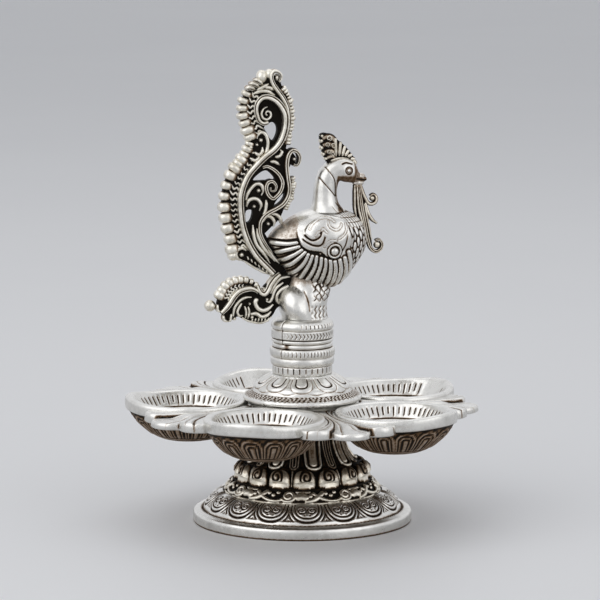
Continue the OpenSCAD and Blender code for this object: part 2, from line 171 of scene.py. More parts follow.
def outward(co, faces):
    """The faces of a closed shell, turned so that they look out of it."""
    fan = np.array([[f[0], f[k], f[k + 1]] for f in faces for k in range(1, len(f) - 1)])
    a, b, c = co[fan[:, 0]], co[fan[:, 1]], co[fan[:, 2]]
    volume = np.einsum("ij,ij->i", a, np.cross(b, c)).sum()
    return faces if volume >= 0 else [f[::-1] for f in faces]


def grid_faces(rows, columns, loop):
    """Quads of a grid whose columns go round, and whose rows may close on themselves."""
    i, j = np.meshgrid(np.arange(rows if loop else rows - 1), np.arange(columns), indexing="ij")
    near, far = (i % rows) * columns, ((i + 1) % rows) * columns
    k = (j + 1) % columns
    return np.stack([near + j, near + k, far + k, far + j], -1).reshape(-1, 4).tolist()


def close_ends(co, faces, dark, rows, columns):
    """Fans over the first and last row of an open grid."""
    n = len(co)
    co = np.concatenate([co, [co[:columns].mean(0), co[-columns:].mean(0)]])
    dark = np.concatenate([dark, [dark[:columns].mean(), dark[-columns:].mean()]])
    for j in range(columns):
        k = (j + 1) % columns
        faces.append([n, k, j])
        faces.append([n + 1, (rows - 1) * columns + j, (rows - 1) * columns + k])
    return co, faces, dark


def turned(sections, columns, reliefs, loop=True):
    """A turned casting. A section is its name, its profile of radius and height, and its step; a relief gives
    height and darkness from the angle, the distance along the section and the radius."""
    profile, names, reach = [], [], []
    for name, points, step in sections:
        p, along = resample(points, step)
        last = len(p) if not loop and name == sections[-1][0] else len(p) - 1
        profile.append(p[:last])
        reach.append(along[:last])
        names += [name] * last
    profile, reach, names = np.concatenate(profile), np.concatenate(reach), np.array(names)
    slope = np.roll(profile, -1, 0) - np.roll(profile, 1, 0) if loop else np.gradient(profile, axis=0)
    slope /= np.linalg.norm(slope, axis=1)[:, None]
    angle = np.arange(columns) * TURN / columns
    height = np.zeros((len(profile), columns))
    dark = np.zeros((len(profile), columns))
    for name, relief in reliefs.items():
        rows = names == name
        height[rows], dark[rows] = relief(angle[None], reach[rows][:, None], profile[rows][:, :1])
    r = profile[:, :1] + slope[:, 1:] * height
    z = profile[:, 1:] - slope[:, :1] * height
    co = np.stack([r * np.cos(angle), r * np.sin(angle), z], -1).reshape(-1, 3)
    faces = grid_faces(len(profile), columns, loop)
    if loop:
        return co, faces, dark.ravel()
    return close_ends(co, faces, dark.ravel(), len(profile), columns)


def repeat_x(angle, radius, count, first):
    """Distance round the casting from the nearest of some evenly spaced places."""
    pitch = TURN / count
    return ((angle - math.radians(first) + pitch / 2) % pitch - pitch / 2) * radius


def ball(centre, radii, rows=10, columns=16, dark=0.0, square=1.0):
    """A rounded bead, boxier for a smaller square."""
    t = np.linspace(0, math.pi, rows + 1)[1:-1]
    a = np.arange(columns) * TURN / columns
    unit = np.stack([np.sin(t)[:, None] * np.cos(a), np.sin(t)[:, None] * np.sin(a),
                     np.repeat(-np.cos(t)[:, None], columns, 1)], -1).reshape(-1, 3)
    co = np.array(centre) + np.sign(unit) * np.abs(unit) ** square * np.array(radii)
    shade = np.full(len(co), float(dark))
    return close_ends(co, grid_faces(rows - 1, columns, False), shade, rows - 1, columns)


def swept(path, half_width, half_depth, section):
    """A strand in the peacock's plane. The section's rows are across, through and darkness."""
    p = np.array(path, float)
    d = np.gradient(p, axis=0)
    d /= np.linalg.norm(d, axis=1)[:, None]
    side = np.stack([-d[:, 1], d[:, 0]], 1)
    w = np.broadcast_to(half_width, (len(p),))[:, None]
    h = np.broadcast_to(half_depth, (len(p),))[:, None]
    across, through, shade = np.array(section, float).T
    co = np.stack([p[:, :1] + side[:, :1] * w * across, h * through, p[:, 1:] + side[:, 1:] * w * across], -1)
    dark = np.broadcast_to(shade, (len(p), len(shade))).ravel()
    return close_ends(co.reshape(-1, 3), grid_faces(len(p), len(shade), False), dark, len(p), len(shade))


def new_object(name, data):
    """An object in the scene."""
    made = bpy.data.objects.new(name, data)
    bpy.context.scene.collection.objects.link(made)
    return made


def final_mesh(maker):
    """The plain mesh that an object comes to. The object is removed."""
    mesh = bpy.data.meshes.new_from_object(maker.evaluated_get(bpy.context.evaluated_depsgraph_get()))
    bpy.data.objects.remove(maker)
    return mesh


def add_line(data, points):
    """A straight-sided line in a curve, through points of four values."""
    spline = data.splines.new("POLY")
    spline.points.add(len(points) - 1)
    spline.points.foreach_set("co", points.ravel())
    return spline


def filled(outline, holes, half_depth, dark):
    """A flat plate in the peacock's plane, with openings."""
    data = bpy.data.curves.new("outline", "CURVE")
    data.dimensions = "2D"
    data.fill_mode = "BOTH"
    data.extrude = half_depth
    for loop in [outline] + list(holes):
        spots = np.column_stack([loop, np.zeros(len(loop)), np.ones(len(loop))])
        add_line(data, spots).use_cyclic_u = True
    mesh = final_mesh(new_object("outline", data))
    co = np.zeros(len(mesh.vertices) * 3)
    mesh.vertices.foreach_get("co", co)
    faces = [list(f.vertices) for f in mesh.polygons]
    bpy.data.curves.remove(data)
    bpy.data.meshes.remove(mesh)
    co = co.reshape(-1, 3)
    return np.stack([co[:, 0], -co[:, 2], co[:, 1]], 1), faces, np.full(len(co), float(dark))


def hollows(co, faces, rounds):
    """How far each vertex lies below its smoothed surroundings, in millimetres."""
    mesh = bpy.data.meshes.new("hollows")
    mesh.from_pydata(co, [], faces)
    edge = np.zeros(len(mesh.edges) * 2, int)
    mesh.edges.foreach_get("vertices", edge)
    normal = np.zeros(len(co) * 3)
    mesh.vertices.foreach_get("normal", normal)
    bpy.data.meshes.remove(mesh)
    edge, normal = edge.reshape(-1, 2), normal.reshape(-1, 3)
    ends, others = np.concatenate([edge[:, 0], edge[:, 1]]), np.concatenate([edge[:, 1], edge[:, 0]])
    count = np.maximum(np.bincount(ends, minlength=len(co)), 1)
    soft = co.copy()
    for _ in range(rounds):
        for k in range(3):
            soft[:, k] = 0.4 * soft[:, k] + 0.6 * np.bincount(ends, soft[others, k], len(co)) / count
    return ((soft - co) * normal).sum(1)


def cast(name, casting, rounds=14, gain=2.2, underside_reflection=None):
    """An object from the shells, with the darkness of its hollows and painted shade as one attribute, and a
    painted brown reflection as another.
    """
    co = np.concatenate(casting.co)
    sunk = np.clip(hollows(co, casting.faces, rounds) - 0.03, -0.12, 0.5)
    dark = np.concatenate(casting.dark) + gain * sunk
    mesh = bpy.data.meshes.new(name)
    mesh.from_pydata(co * MM, [], casting.faces)
    mesh.shade_smooth()
    # This attribute holds the oxide of the hollows and the painted shade that the reliefs lay in.
    mesh.attributes.new("oxide_and_shade", "FLOAT", "POINT").data.foreach_set("value", np.clip(dark, 0, 1))
    # A painted brown reflection, where one is given.
    if underside_reflection is not None:
        mesh.attributes.new("underside_reflection", "FLOAT", "POINT").data.foreach_set("value", underside_reflection)
    return new_object(name, mesh)


def turn_bird(piece):
    """Turns a piece that was made in the peacock's own plane."""
    co = np.zeros(len(piece.data.vertices) * 3)
    piece.data.vertices.foreach_get("co", co)
    u, y, z = co.reshape(-1, 3).T
    c, s = math.cos(BIRD_TURN), math.sin(BIRD_TURN)
    piece.data.vertices.foreach_set("co", np.stack([c * u - s * y, s * u + c * y, z], 1).ravel())
    piece.data.update()
    return piece


# Trees of nodes

def new_tree(name, kind, inputs, outputs):
    """A tree with its input and output nodes. Each socket is its label and its kind."""
    tree = bpy.data.node_groups.new(name, kind)
    for way, sockets in (("INPUT", inputs), ("OUTPUT", outputs)):
        for label, socket_kind in sockets:
            tree.interface.new_socket(label, in_out=way, socket_type="NodeSocket" + socket_kind)
    return tree, tree.nodes.new("NodeGroupInput"), tree.nodes.new("NodeGroupOutput")


def growing_tree(name, inputs):
    """A tree of geometry nodes."""
    shape = ("Geometry", "Geometry")
    return new_tree(name, "GeometryNodeTree", [shape] + inputs, [shape])


def wire(tree, *links):
    """Links, each given as a node, its output, the next node and its input."""
    for start, label, end, into in links:
        tree.links.new(start.outputs[label], end.inputs[into])


def feed(tree, socket, value):
    """Sets a socket to a number or a colour, or links an output to it."""
    if isinstance(value, (int, float)):
        socket.default_value = value
    elif isinstance(value, tuple):
        socket.default_value = (*value, 1.0)
    else:
        tree.links.new(value, socket)


def finish_tree(tree, given, out, place):
    """Ends a tree in plain geometry with its finish."""
    real = tree.nodes.new("GeometryNodeRealizeInstances")
    coat = tree.nodes.new("GeometryNodeSetMaterial")
    wire(tree, (place, "Instances", real, "Geometry"), (real, "Geometry", coat, "Geometry"),
         (given, "Finish", coat, "Material"), (coat, "Geometry", out, "Geometry"))
    return tree


def math_node(tree, operation, a, b):
    """One operation on two values."""
    node = tree.nodes.new("ShaderNodeMath")
    node.operation = operation
    feed(tree, node.inputs[0], a)
    feed(tree, node.inputs[1], b)
    return node.outputs[0]


def ring_tree():
    """Copies of one casting round the lamp's axis."""
    tree, given, out = growing_tree("ring_of_castings", [
        ("Casting", "Object"), ("Count", "Int"), ("First Angle", "Float"), ("Finish", "Material")])
    points = tree.nodes.new("GeometryNodePoints")
    source = tree.nodes.new("GeometryNodeObjectInfo")
    index = tree.nodes.new("GeometryNodeInputIndex")
    place = tree.nodes.new("GeometryNodeInstanceOnPoints")
    euler = tree.nodes.new("ShaderNodeCombineXYZ")
    rotate = tree.nodes.new("FunctionNodeEulerToRotation")
    step = math_node(tree, "DIVIDE", TURN, given.outputs["Count"])
    spin = math_node(tree, "MULTIPLY", index.outputs["Index"], step)
    tree.links.new(math_node(tree, "ADD", spin, given.outputs["First Angle"]), euler.inputs["Z"])
    wire(tree, (given, "Count", points, "Count"), (given, "Casting", source, "Object"),
         (euler, "Vector", rotate, "Euler"), (points, 0, place, "Points"),
         (source, "Geometry", place, "Instance"), (rotate, "Rotation", place, "Rotation"))
    return finish_tree(tree, given, out, place)


def row_tree():
    """Gadroons or beads along a path, each square to it and a little uneven in size."""
    tree, given, out = growing_tree("gadroon_row", [
        ("Gadroon", "Object"), ("Count", "Int"), ("Unevenness", "Float"), ("Taper", "Float"), ("Seed", "Int"),
        ("Finish", "Material")])
    even = tree.nodes.new("GeometryNodeResampleCurve")
    source = tree.nodes.new("GeometryNodeObjectInfo")
    tangent = tree.nodes.new("GeometryNodeInputTangent")
    align = tree.nodes.new("FunctionNodeAlignRotationToVector")
    chance = tree.nodes.new("FunctionNodeRandomValue")
    place = tree.nodes.new("GeometryNodeInstanceOnPoints")
    align.axis = "X"
    align.pivot_axis = "Y"
    chance.data_type = "FLOAT"
    low = math_node(tree, "SUBTRACT", 1.0, given.outputs["Unevenness"])
    high = math_node(tree, "ADD", 1.0, given.outputs["Unevenness"])
    tree.links.new(low, chance.inputs[2])
    tree.links.new(high, chance.inputs[3])
    wire(tree, (given, "Geometry", even, "Curve"), (given, "Count", even, "Count"),
         (given, "Gadroon", source, "Object"), (tangent, "Tangent", align, "Vector"),
         (given, "Seed", chance, "Seed"), (even, "Curve", place, "Points"),
         (source, "Geometry", place, "Instance"), (align, "Rotation", place, "Rotation"))
    along = tree.nodes.new("GeometryNodeSplineParameter")
    lost = math_node(tree, "MULTIPLY", along.outputs["Factor"], given.outputs["Taper"])
    size = math_node(tree, "MULTIPLY", chance.outputs[1], math_node(tree, "SUBTRACT", 1.0, lost))
    tree.links.new(size, place.inputs["Scale"])
    return finish_tree(tree, given, out, place)


def grown(name, carrier_data, tree, values):
    """The plain mesh that a node tree grows on a carrier."""
    carrier = new_object(name + "_maker", carrier_data)
    grow = carrier.modifiers.new("grow", "NODES")
    grow.node_group = tree
    for item in tree.interface.items_tree:
        if item.in_out == "INPUT" and item.name in values:
            grow[item.identifier] = values[item.name]
    mesh = final_mesh(carrier)
    mesh.name = name
    mesh.shade_smooth()
    return new_object(name, mesh)


def ring_of(name, source, count, first, finish):
    """Copies of a casting round the axis, from a first angle in degrees."""
    piece = grown(name, bpy.data.meshes.new(name + "_seed"), RING,
                  {"Casting": source, "Count": count, "First Angle": math.radians(first), "Finish": finish})
    bpy.data.objects.remove(source)
    return piece


def row_of(name, source, path, count, unevenness, taper, seed, finish):
    """A row along a path of U and Z in the peacock's plane."""
    data = bpy.data.curves.new(name + "_path", "CURVE")
    data.dimensions = "3D"
    add_line(data,
             np.column_stack([path[:, 0] * MM, np.zeros(len(path)), path[:, 1] * MM, np.ones(len(path))]))
    return grown(name, data, ROW,
                 {"Gadroon": source, "Count": count, "Unevenness": unevenness, "Taper": taper, "Seed": seed,
                  "Finish": finish})


RING = ring_tree()
ROW = row_tree()


# Finishes

# Colours of the oxide mask, which also paints shade: near black where deep, brown where thin.
DEEP_OXIDE, THIN_OXIDE = (0.009, 0.007, 0.005), (0.135, 0.075, 0.034)
# The first is the stain round the oxide; the second is brown painted on the cups' bowl undersides, a painted
# reflection of a brown table.
STAIN, REFLECTED_BROWN = (0.41, 0.29, 0.175), (0.36, 0.235, 0.14)


def noise(tree, place, scale, detail=4.0, rough=0.55):
    """Cloudy noise."""
    node = tree.nodes.new("ShaderNodeTexNoise")
    node.inputs["Detail"].default_value = detail
    node.inputs["Roughness"].default_value = rough
    feed(tree, node.inputs["Scale"], scale)
    tree.links.new(place, node.inputs["Vector"])
    return node.outputs["Fac"]


def spread(tree, value, low, high, out_low=0.0, out_high=1.0):
    """A smooth step between two levels of a value."""
    node = tree.nodes.new("ShaderNodeMapRange")
    node.interpolation_type = "SMOOTHSTEP"
    for socket, v in zip(node.inputs[1:5], (low, high, out_low, out_high)):
        socket.default_value = v
    tree.links.new(value, node.inputs[0])
    return node.outputs[0]


def blend(tree, factor, a, b):
    """A mix of two colours."""
    node = tree.nodes.new("ShaderNodeMix")
    node.data_type = "RGBA"
    tree.links.new(factor, node.inputs[0])
    feed(tree, node.inputs[6], a)
    feed(tree, node.inputs[7], b)
    return node.outputs[2]


def oxide_and_shade_group():
    """Dark oxide left in the hollows, with the painted shade that shares its mask, black where deep and brown
    where thin, with a stain round it.
    """
    group, given, out = new_tree("oxide_and_painted_shade", "ShaderNodeTree",
                                 [("Place", "Vector"), ("Recess", "Float"), ("Bias", "Float")],
                                 [("Mask", "Float"), ("Stain", "Float"), ("Tone", "Color")])
    fine = noise(group, given.outputs["Place"], 900.0, 5.0, 0.65)
    broad = noise(group, given.outputs["Place"], 160.0, 3.0)
    ragged = math_node(group, "MULTIPLY", math_node(group, "SUBTRACT", fine, 0.5), 0.55)
    patchy = math_node(group, "MULTIPLY", math_node(group, "SUBTRACT", broad, 0.5), 0.35)
    level = math_node(group, "ADD", given.outputs["Recess"], math_node(group, "ADD", ragged, patchy))
    level = math_node(group, "ADD", level, given.outputs["Bias"])
    group.links.new(spread(group, level, 0.22, 0.62), out.inputs["Mask"])
    group.links.new(spread(group, level, 0.1, 0.5, 0.0, 0.5), out.inputs["Stain"])
    thin = spread(group, level, 0.48, 0.88, 1.0, 0.0)
    group.links.new(blend(group, thin, DEEP_OXIDE, THIN_OXIDE), out.inputs["Tone"])
    return group


def polish_group():
    """Hand polish: smears in the gloss and a faint greying of the metal."""
    group, given, out = new_tree("hand_polish", "ShaderNodeTree", [("Place", "Vector"), ("Amount", "Float")],
                                 [("Smear", "Float"), ("Grey", "Float")])
    smear = noise(group, given.outputs["Place"], 70.0, 6.0, 0.6)
    grey = noise(group, given.outputs["Place"], 240.0, 5.0, 0.7)
    group.links.new(math_node(group, "MULTIPLY", smear, given.outputs["Amount"]), out.inputs["Smear"])
    group.links.new(spread(group, grey, 0.38, 0.75), out.inputs["Grey"])
    return group


def grain_group():
    """The fine pitted grain of a casting."""
    group, given, out = new_tree("casting_grain", "ShaderNodeTree", [("Place", "Vector"), ("Scale", "Float")],
                                 [("Height", "Float")])
    pits = noise(group, given.outputs["Place"], given.outputs["Scale"], 3.0, 0.6)
    group.links.new(pits, out.inputs["Height"])
    return group


OXIDE_AND_SHADE = oxide_and_shade_group()
POLISH = polish_group()
GRAIN = grain_group()


def use(tree, group, **values):
    """A copy of a shader group with its inputs."""
    node = tree.nodes.new("ShaderNodeGroup")
    node.node_tree = group
    for label, value in values.items():
        feed(tree, node.inputs[label], value)
    return node


def new_finish(name):
    """A material with its tree, its shader and the coordinates of its piece."""
    mat = bpy.data.materials.new(name)
    mat.use_nodes = True
    tree = mat.node_tree
    return mat, tree, tree.nodes["Principled BSDF"], tree.nodes.new("ShaderNodeTexCoord").outputs["Object"]


def add_grain(tree, shader, place, scale, strength, distance):
    """Bumps of the casting's grain."""
    pits = use(tree, GRAIN, Place=place, Scale=scale)
    bump = tree.nodes.new("ShaderNodeBump")
    bump.inputs["Strength"].default_value = strength
    bump.inputs["Distance"].default_value = distance
    tree.links.new(pits.outputs["Height"], bump.inputs["Height"])
    tree.links.new(bump.outputs["Normal"], shader.inputs["Normal"])


def silver(name, bright, grey, bias, gloss, grain):
    """Oxidised silver over a white-metal casting."""
    mat, tree, shader, place = new_finish(name)
    oxide_and_shade = tree.nodes.new("ShaderNodeAttribute")
    oxide_and_shade.attribute_name = "oxide_and_shade"
    # The oxide mask also paints the shade that the pieces carry in their attribute.
    oxide = use(tree, OXIDE_AND_SHADE, Place=place, Recess=oxide_and_shade.outputs["Fac"], Bias=bias)
    polish = use(tree, POLISH, Place=place, Amount=0.22)
    metal = blend(tree, polish.outputs["Grey"], bright, grey)
    metal = blend(tree, oxide.outputs["Stain"], metal, STAIN)
    # Brown laid where the attribute is set, a painted reflection of a brown table on the cups' undersides.
    underside_reflection = tree.nodes.new("ShaderNodeAttribute")
    underside_reflection.attribute_name = "underside_reflection"
    metal = blend(tree, underside_reflection.outputs["Fac"], metal, REFLECTED_BROWN)
    coated = blend(tree, oxide.outputs["Mask"], metal, oxide.outputs["Tone"])
    tree.links.new(coated, shader.inputs["Base Color"])
    bare = math_node(tree, "SUBTRACT", 1.0, math_node(tree, "MULTIPLY", oxide.outputs["Mask"], 0.55))
    tree.links.new(bare, shader.inputs["Metallic"])
    shader.inputs["Specular IOR Level"].default_value = 0.12
    rough = math_node(tree, "ADD", math_node(tree, "MULTIPLY", oxide.outputs["Mask"], 0.34), gloss)
    tree.links.new(math_node(tree, "ADD", rough, polish.outputs["Smear"]), shader.inputs["Roughness"])
    add_grain(tree, shader, place, grain, 0.35, 0.00018)
    return mat


def plated_steel():
    """Zinc-plated hardware under the foot."""
    mat, tree, shader, place = new_finish("plated_steel")
    shader.inputs["Metallic"].default_value = 1.0
    polish = use(tree, POLISH, Place=place, Amount=0.3)
    metal = blend(tree, polish.outputs["Grey"], (0.56, 0.57, 0.58), (0.40, 0.40, 0.41))
    tree.links.new(metal, shader.inputs["Base Color"])
    tree.links.new(math_node(tree, "ADD", 0.25, polish.outputs["Smear"]), shader.inputs["Roughness"])
    add_grain(tree, shader, place, 700.0, 0.2, 0.0001)
    return mat


BRIGHT = silver("bright_silver", (0.71, 0.70, 0.67), (0.58, 0.57, 0.54), 0.0, 0.17, 520.0)
AGED = silver("aged_silver", (0.78, 0.735, 0.64), (0.50, 0.455, 0.365), 0.08, 0.22, 620.0)
DARK = silver("dark_silver", (0.81, 0.78, 0.705), (0.51, 0.475, 0.395), 0.10, 0.25, 620.0)
STEEL = plated_steel()


def place_piece(piece, finish, slot, body, *nodes):
    """Gives a finished piece its finish, its body and the solids that it stands for."""
    if not piece.data.materials:
        piece.data.materials.append(finish)
    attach(piece, body)
    if nodes:
        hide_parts(*nodes)


# Foot

def foot():
    petals, first, columns = 16, 3.9, 960
    dome_low, dome_high, rim_h, web_z = 39.3, 31.2, 5.2, 9.2
    t = np.radians(np.arange(0, 91, 5))
    dome = np.stack([dome_high + (dome_low - dome_high) * np.cos(t) ** 1.25,
                     rim_h + (FOOT_TOP - rim_h) * np.sin(t) ** 1.25], 1)

    def granulated(angle, reach, radius):
        beads = 0.5 + 0.5 * np.cos(angle * 150) * np.cos(reach * 5)
        return 0.18 * beads, 0.9 - 0.35 * beads

    def rim(angle, reach, radius):
        # Painted shade: a dark contact shadow along the rim's foot and a darker lower edge, with a darker
        # band on the inner flat above.
        shade = 0.7 * (1 - rise(reach, 0.5, 1.2)) + 0.22 * (1 - rise(reach, 1.0, 2.6))
        shade = shade + 0.32 * rise(reach, 5.4, 6.4) + 0 * angle
        return 0 * shade, shade

    def lotus(angle, reach, radius):
        x = repeat_x(angle, radius, petals, first)
        half = radius * math.pi / petals
        y = reach + 0 * x
        f = petal(x, y, 0.88 * half, 9.4, 8.0, 2.4)
        size = 6.2
        outline = line((f - 1) * size, 0.36)
        inner = line((f - 0.79) * size, 0.30)
        between = rise(f, 1.03, 1.2)
        nested = line((f - 1.19) * size, 0.26) + line((f - 1.38) * size, 0.26)
        nested *= 0.7 * rise(y, 1.6, 2.6)
        within = 1 - rise(f, 0.7, 0.76)
        scroll = spiral_line(np.abs(x) - 2.05, y - 6.7, 1.15, 2.1, 0.27, -1) * within
        keel = line(np.abs(np.abs(x) - 1.1) + 0.8 * np.abs(y - 4.3), 0.5) * within
        swell = 0.5 * np.sqrt(np.clip(1 - f, 0, 1)) - 0.25 * between * rise(y, 1.2, 2.2)
        cut = np.clip(outline + 0.85 * inner + nested + scroll + 0.7 * keel, 0, 1)
        # A tone over the lotus ground, darker towards its foot and towards its top.
        ground_tone = 0.16 + 0.16 * (1 - rise(y, 0.4, 1.8)) + 0.16 * rise(y, 8, 11)
        fade = rise(y, 0.2, 0.9)
        dark = ground_tone + 0.85 * cut + 0.15 * between * rise(y, 1.4, 2.4)
        return fade * (swell - 0.5 * cut), np.clip(dark, 0, 1)

    sections = [("base", [(40.5, 0), (43.2, 0)], 1.4),
                ("rim", eased([(43.2, 0), (43.5, 0.4), (43.5, 3.5), (43.2, 4.4), (42.4, 4.8), (40.3, 5.1)]),
                 0.5), ("groove", [(40.3, 5.1), (39.8, 4.5), (39.3, 5.2)], 0.28), ("dome", dome, 0.3),
                ("seat", [(dome_high, FOOT_TOP), (BORE_R, FOOT_TOP)], 5),
                ("bore", [(BORE_R, FOOT_TOP), (BORE_R, web_z)], 2),
                ("web", [(BORE_R, web_z), (28.2, web_z), (36.3, 3.7), (40.5, 0)], 2.5)]
    reliefs = {"rim": rim, "groove": granulated, "dome": lotus}
    piece = cast("foot_casting", Casting().add(*turned(sections, columns, reliefs)))
    place_piece(piece, BRIGHT, "bright_silver", "pedestal", "foot")


# Pedestal

def pedestal():
    pairs, pair_turn, vine_turn, tip_drop, columns = 8, 14.0, 35.4, 2.2, 720
    vine_pitch = TURN / pairs

    def vine(angle, reach, radius):
        mid_r = 29.4
        x = ((angle - math.radians(vine_turn) + vine_pitch / 2) % vine_pitch - vine_pitch / 2) * mid_r
        y = reach + 0 * x
        repeat = vine_pitch * mid_r
        ring = curl((0, 3.6), 2.7, 0.9, -150, 470)
        stem = smooth_path([(-2.2, 2.3), (-4.2, 1.3), (-7.2, 1.4), (-10.5, 2.8), (-13.2, 4.8)])
        leaf = smooth_path([(7.4, 1.2), (10, 2.1), (12.4, 3.9), (13.6, 5.4)])
        drop = smooth_path([(3.9, 3.3), (5.4, 3.5), (6.6, 3.1)])
        bud = smooth_path([(3.2, 5.9), (5.6, 5.7), (8.4, 5.8)])
        parts = [(ring, 0.85, 0.9), (stem, 0.85, 0.8), (leaf, 1.15, 0.85), (drop, 1.7, 1.0),
                 (bud, 0.75, 0.65)]
        berries = [(8.6, 3.7), (9.9, 4.9), (-6.2, 3.9), (-4.4, 5.3), (-8.2, 4.9), (0.1, 3.6)]
        tall = np.zeros_like(x)
        for shift in (-repeat, 0, repeat):
            for path, width, high in parts:
                gap = path_gap(x - shift, y, path)
                tall = np.maximum(tall, high * half_round(gap, width))
            for bx, by in berries:
                gap = np.hypot(x - shift - bx, y - by)
                tall = np.maximum(tall, 0.8 * half_round(gap, 1.0))
        lip = 1 - rise(y, 0.35, 0.75)
        tall = np.maximum(tall, 0.75 * lip)
        tall *= 1 - rise(y, 6.6, 7.4)
        return tall - 0.75, 0.95 * (1 - rise(tall, 0.25, 0.6)) + 0.12

    def tongues(angle, reach, radius):
        """Long tongues with a fold between each two, whose tips hang below the neck."""
        x = repeat_x(angle, radius, pairs, pair_turn)
        y = reach + tip_drop + 0 * x
        half = radius * math.pi / pairs
        f = petal(x, y, 3.3, 4.4, 4.2, 2.3)
        band = line((f - 0.88) * 3.4, 0.42)
        core = 1 - rise(f, 0.3, 0.5)
        groove = line((f - 0.6) * 3.4, 0.3)
        tongue = 1 - rise(f, 1.0, 1.12)
        g = petal(half - np.abs(x), y, 2.0, 3.2, 2.8, 2)
        fold = line((g - 0.8) * 2.2, 0.3) + line((g - 0.3) * 2.2, 0.3)
        height = tongue * (0.35 + 0.75 * band + 0.45 * core) + (1 - tongue) * 0.5 * fold
        dark = tongue * (0.95 * groove + 0.28) + (1 - tongue) * (0.8 - 0.5 * fold)
        gap = line((f - 1.12) * 3.4, 0.3)
        # The neck darkens towards its top: painted shade under the tray.
        return height - 0.45 * gap, np.clip(dark + gap + 0.22 * rise(y, 3, 9), 0, 1)

    def lobes(angle, reach, radius):
        """Plump blocks in mirrored pairs, each rolled into a scroll on its shoulder."""
        wall_r, wide, high, middle, bulge = 25.0, 4.5, 4.2, 4.3, 3.3
        pitch = math.pi / pairs
        turn = angle - math.radians(pair_turn) + pitch
        hand = np.where(np.floor(turn / pitch) % 2 == 0, 1, -1)
        x = (turn % pitch - pitch / 2) * wall_r * hand
        y = reach + 0 * x - middle
        f = (np.abs(x / wide) ** 3 + np.abs(y / high) ** 3) ** (1 / 3)
        pillow = np.clip(1 - f ** 2.6, 0, 1) ** 0.45
        scroll = spiral_line(x - 0.7, y - 1.6, 1.5, 2.5, 0.42) * (f < 1)
        eye = line(np.hypot(x - 0.7, y - 1.6), 0.6)
        tongue = np.clip(1 - np.abs(x + 0.5 * pitch * wall_r) / 0.75, 0, 1) * rise(y, -3.2, -2) * (f > 0.98)
        height = bulge * pillow + pillow * (0.3 * eye - 0.5 * scroll * (1 - eye)) + 1.2 * tongue
        # gloom is painted shade over the upper half of each lobe.
        gloom = 0.5 * rise(y, 0.0, 1.4)
        edge = 0.7 * rise(f, 0.86, 1) * (0.2 + 0.8 * rise(y, -3, -0.6))
        dark = np.where(f < 1, gloom + scroll * (1 - eye) + edge, 0.95 - 0.6 * tongue)
        tip_height, tip_dark = tongues(angle, reach - lobe_reach, radius)
        tips = (f >= 1) & (reach > lobe_top)
        return np.where(tips, tip_height, height), np.where(tips, tip_dark, np.clip(dark, 0, 1))

    lobe_path = smooth_path([(27.4, 17.1), (26.2, 17.2), (25, 17.9), (24.3, 19.2), (23.9, 21), (23.1, 22.6),
                             (21.8, 23.7), (20.3, 24.4)], 4)
    lobe_step, lobe_top = 0.26, 8.4
    lobe_reach = resample(lobe_path, lobe_step)[1][-1]
    sections = [("vine", eased([(31.2, FOOT_TOP), (31.3, 13), (30.7, 14), (29.1, 16), (27.4, 17.1)], 1),
                 0.26), ("lobes", lobe_path, lobe_step),
                ("neck", smooth_path([(20.3, 24.4), (17.9, 27.7), (16.3, 31.3), (15.6, 35), (15.6, BELL_TOP)],
                                     4), 0.34), ("top", [(15.6, BELL_TOP), (BORE_R, BELL_TOP)], 5),
                ("bore", [(BORE_R, BELL_TOP), (BORE_R, 36)], 4),
                ("inside", [(BORE_R, 36), (12.4, 33), (14.1, 28), (17.1, 22.5), (20, 18), (24, 15.5),
                            (27, FOOT_TOP)], 3), ("foot", [(27, FOOT_TOP), (31.2, FOOT_TOP)], 2)]
    reliefs = {"vine": vine, "lobes": lobes, "neck": tongues}
    bell = cast("pedestal_casting", Casting().add(*turned(sections, columns, reliefs)))
    place_piece(bell, AGED, "aged_silver", "pedestal", "pedestal_bell")


# Tray

CUP_MID_R, CUP_OUT_R, CUP_TIP, TRAY_TOP, TRAY_LOW = 45.0, 23.6, 1.9, 47.5, 43.5
DISC_R, FAN_TURN, CUPS, FIRST_CUP = 57.0, 216.0, 5, 180
# Middle of each fan petal from the axis, its turn in degrees and its radius
FAN_PETALS = [(62.0, 0.0, 8.0), (59.5, 12.0, 7.0), (59.5, -12.0, 7.0)]


def cup_tip(t):
    """How far a cup's rim reaches out into its point."""
    return CUP_TIP * np.maximum(np.cos(t), 0) ** 4


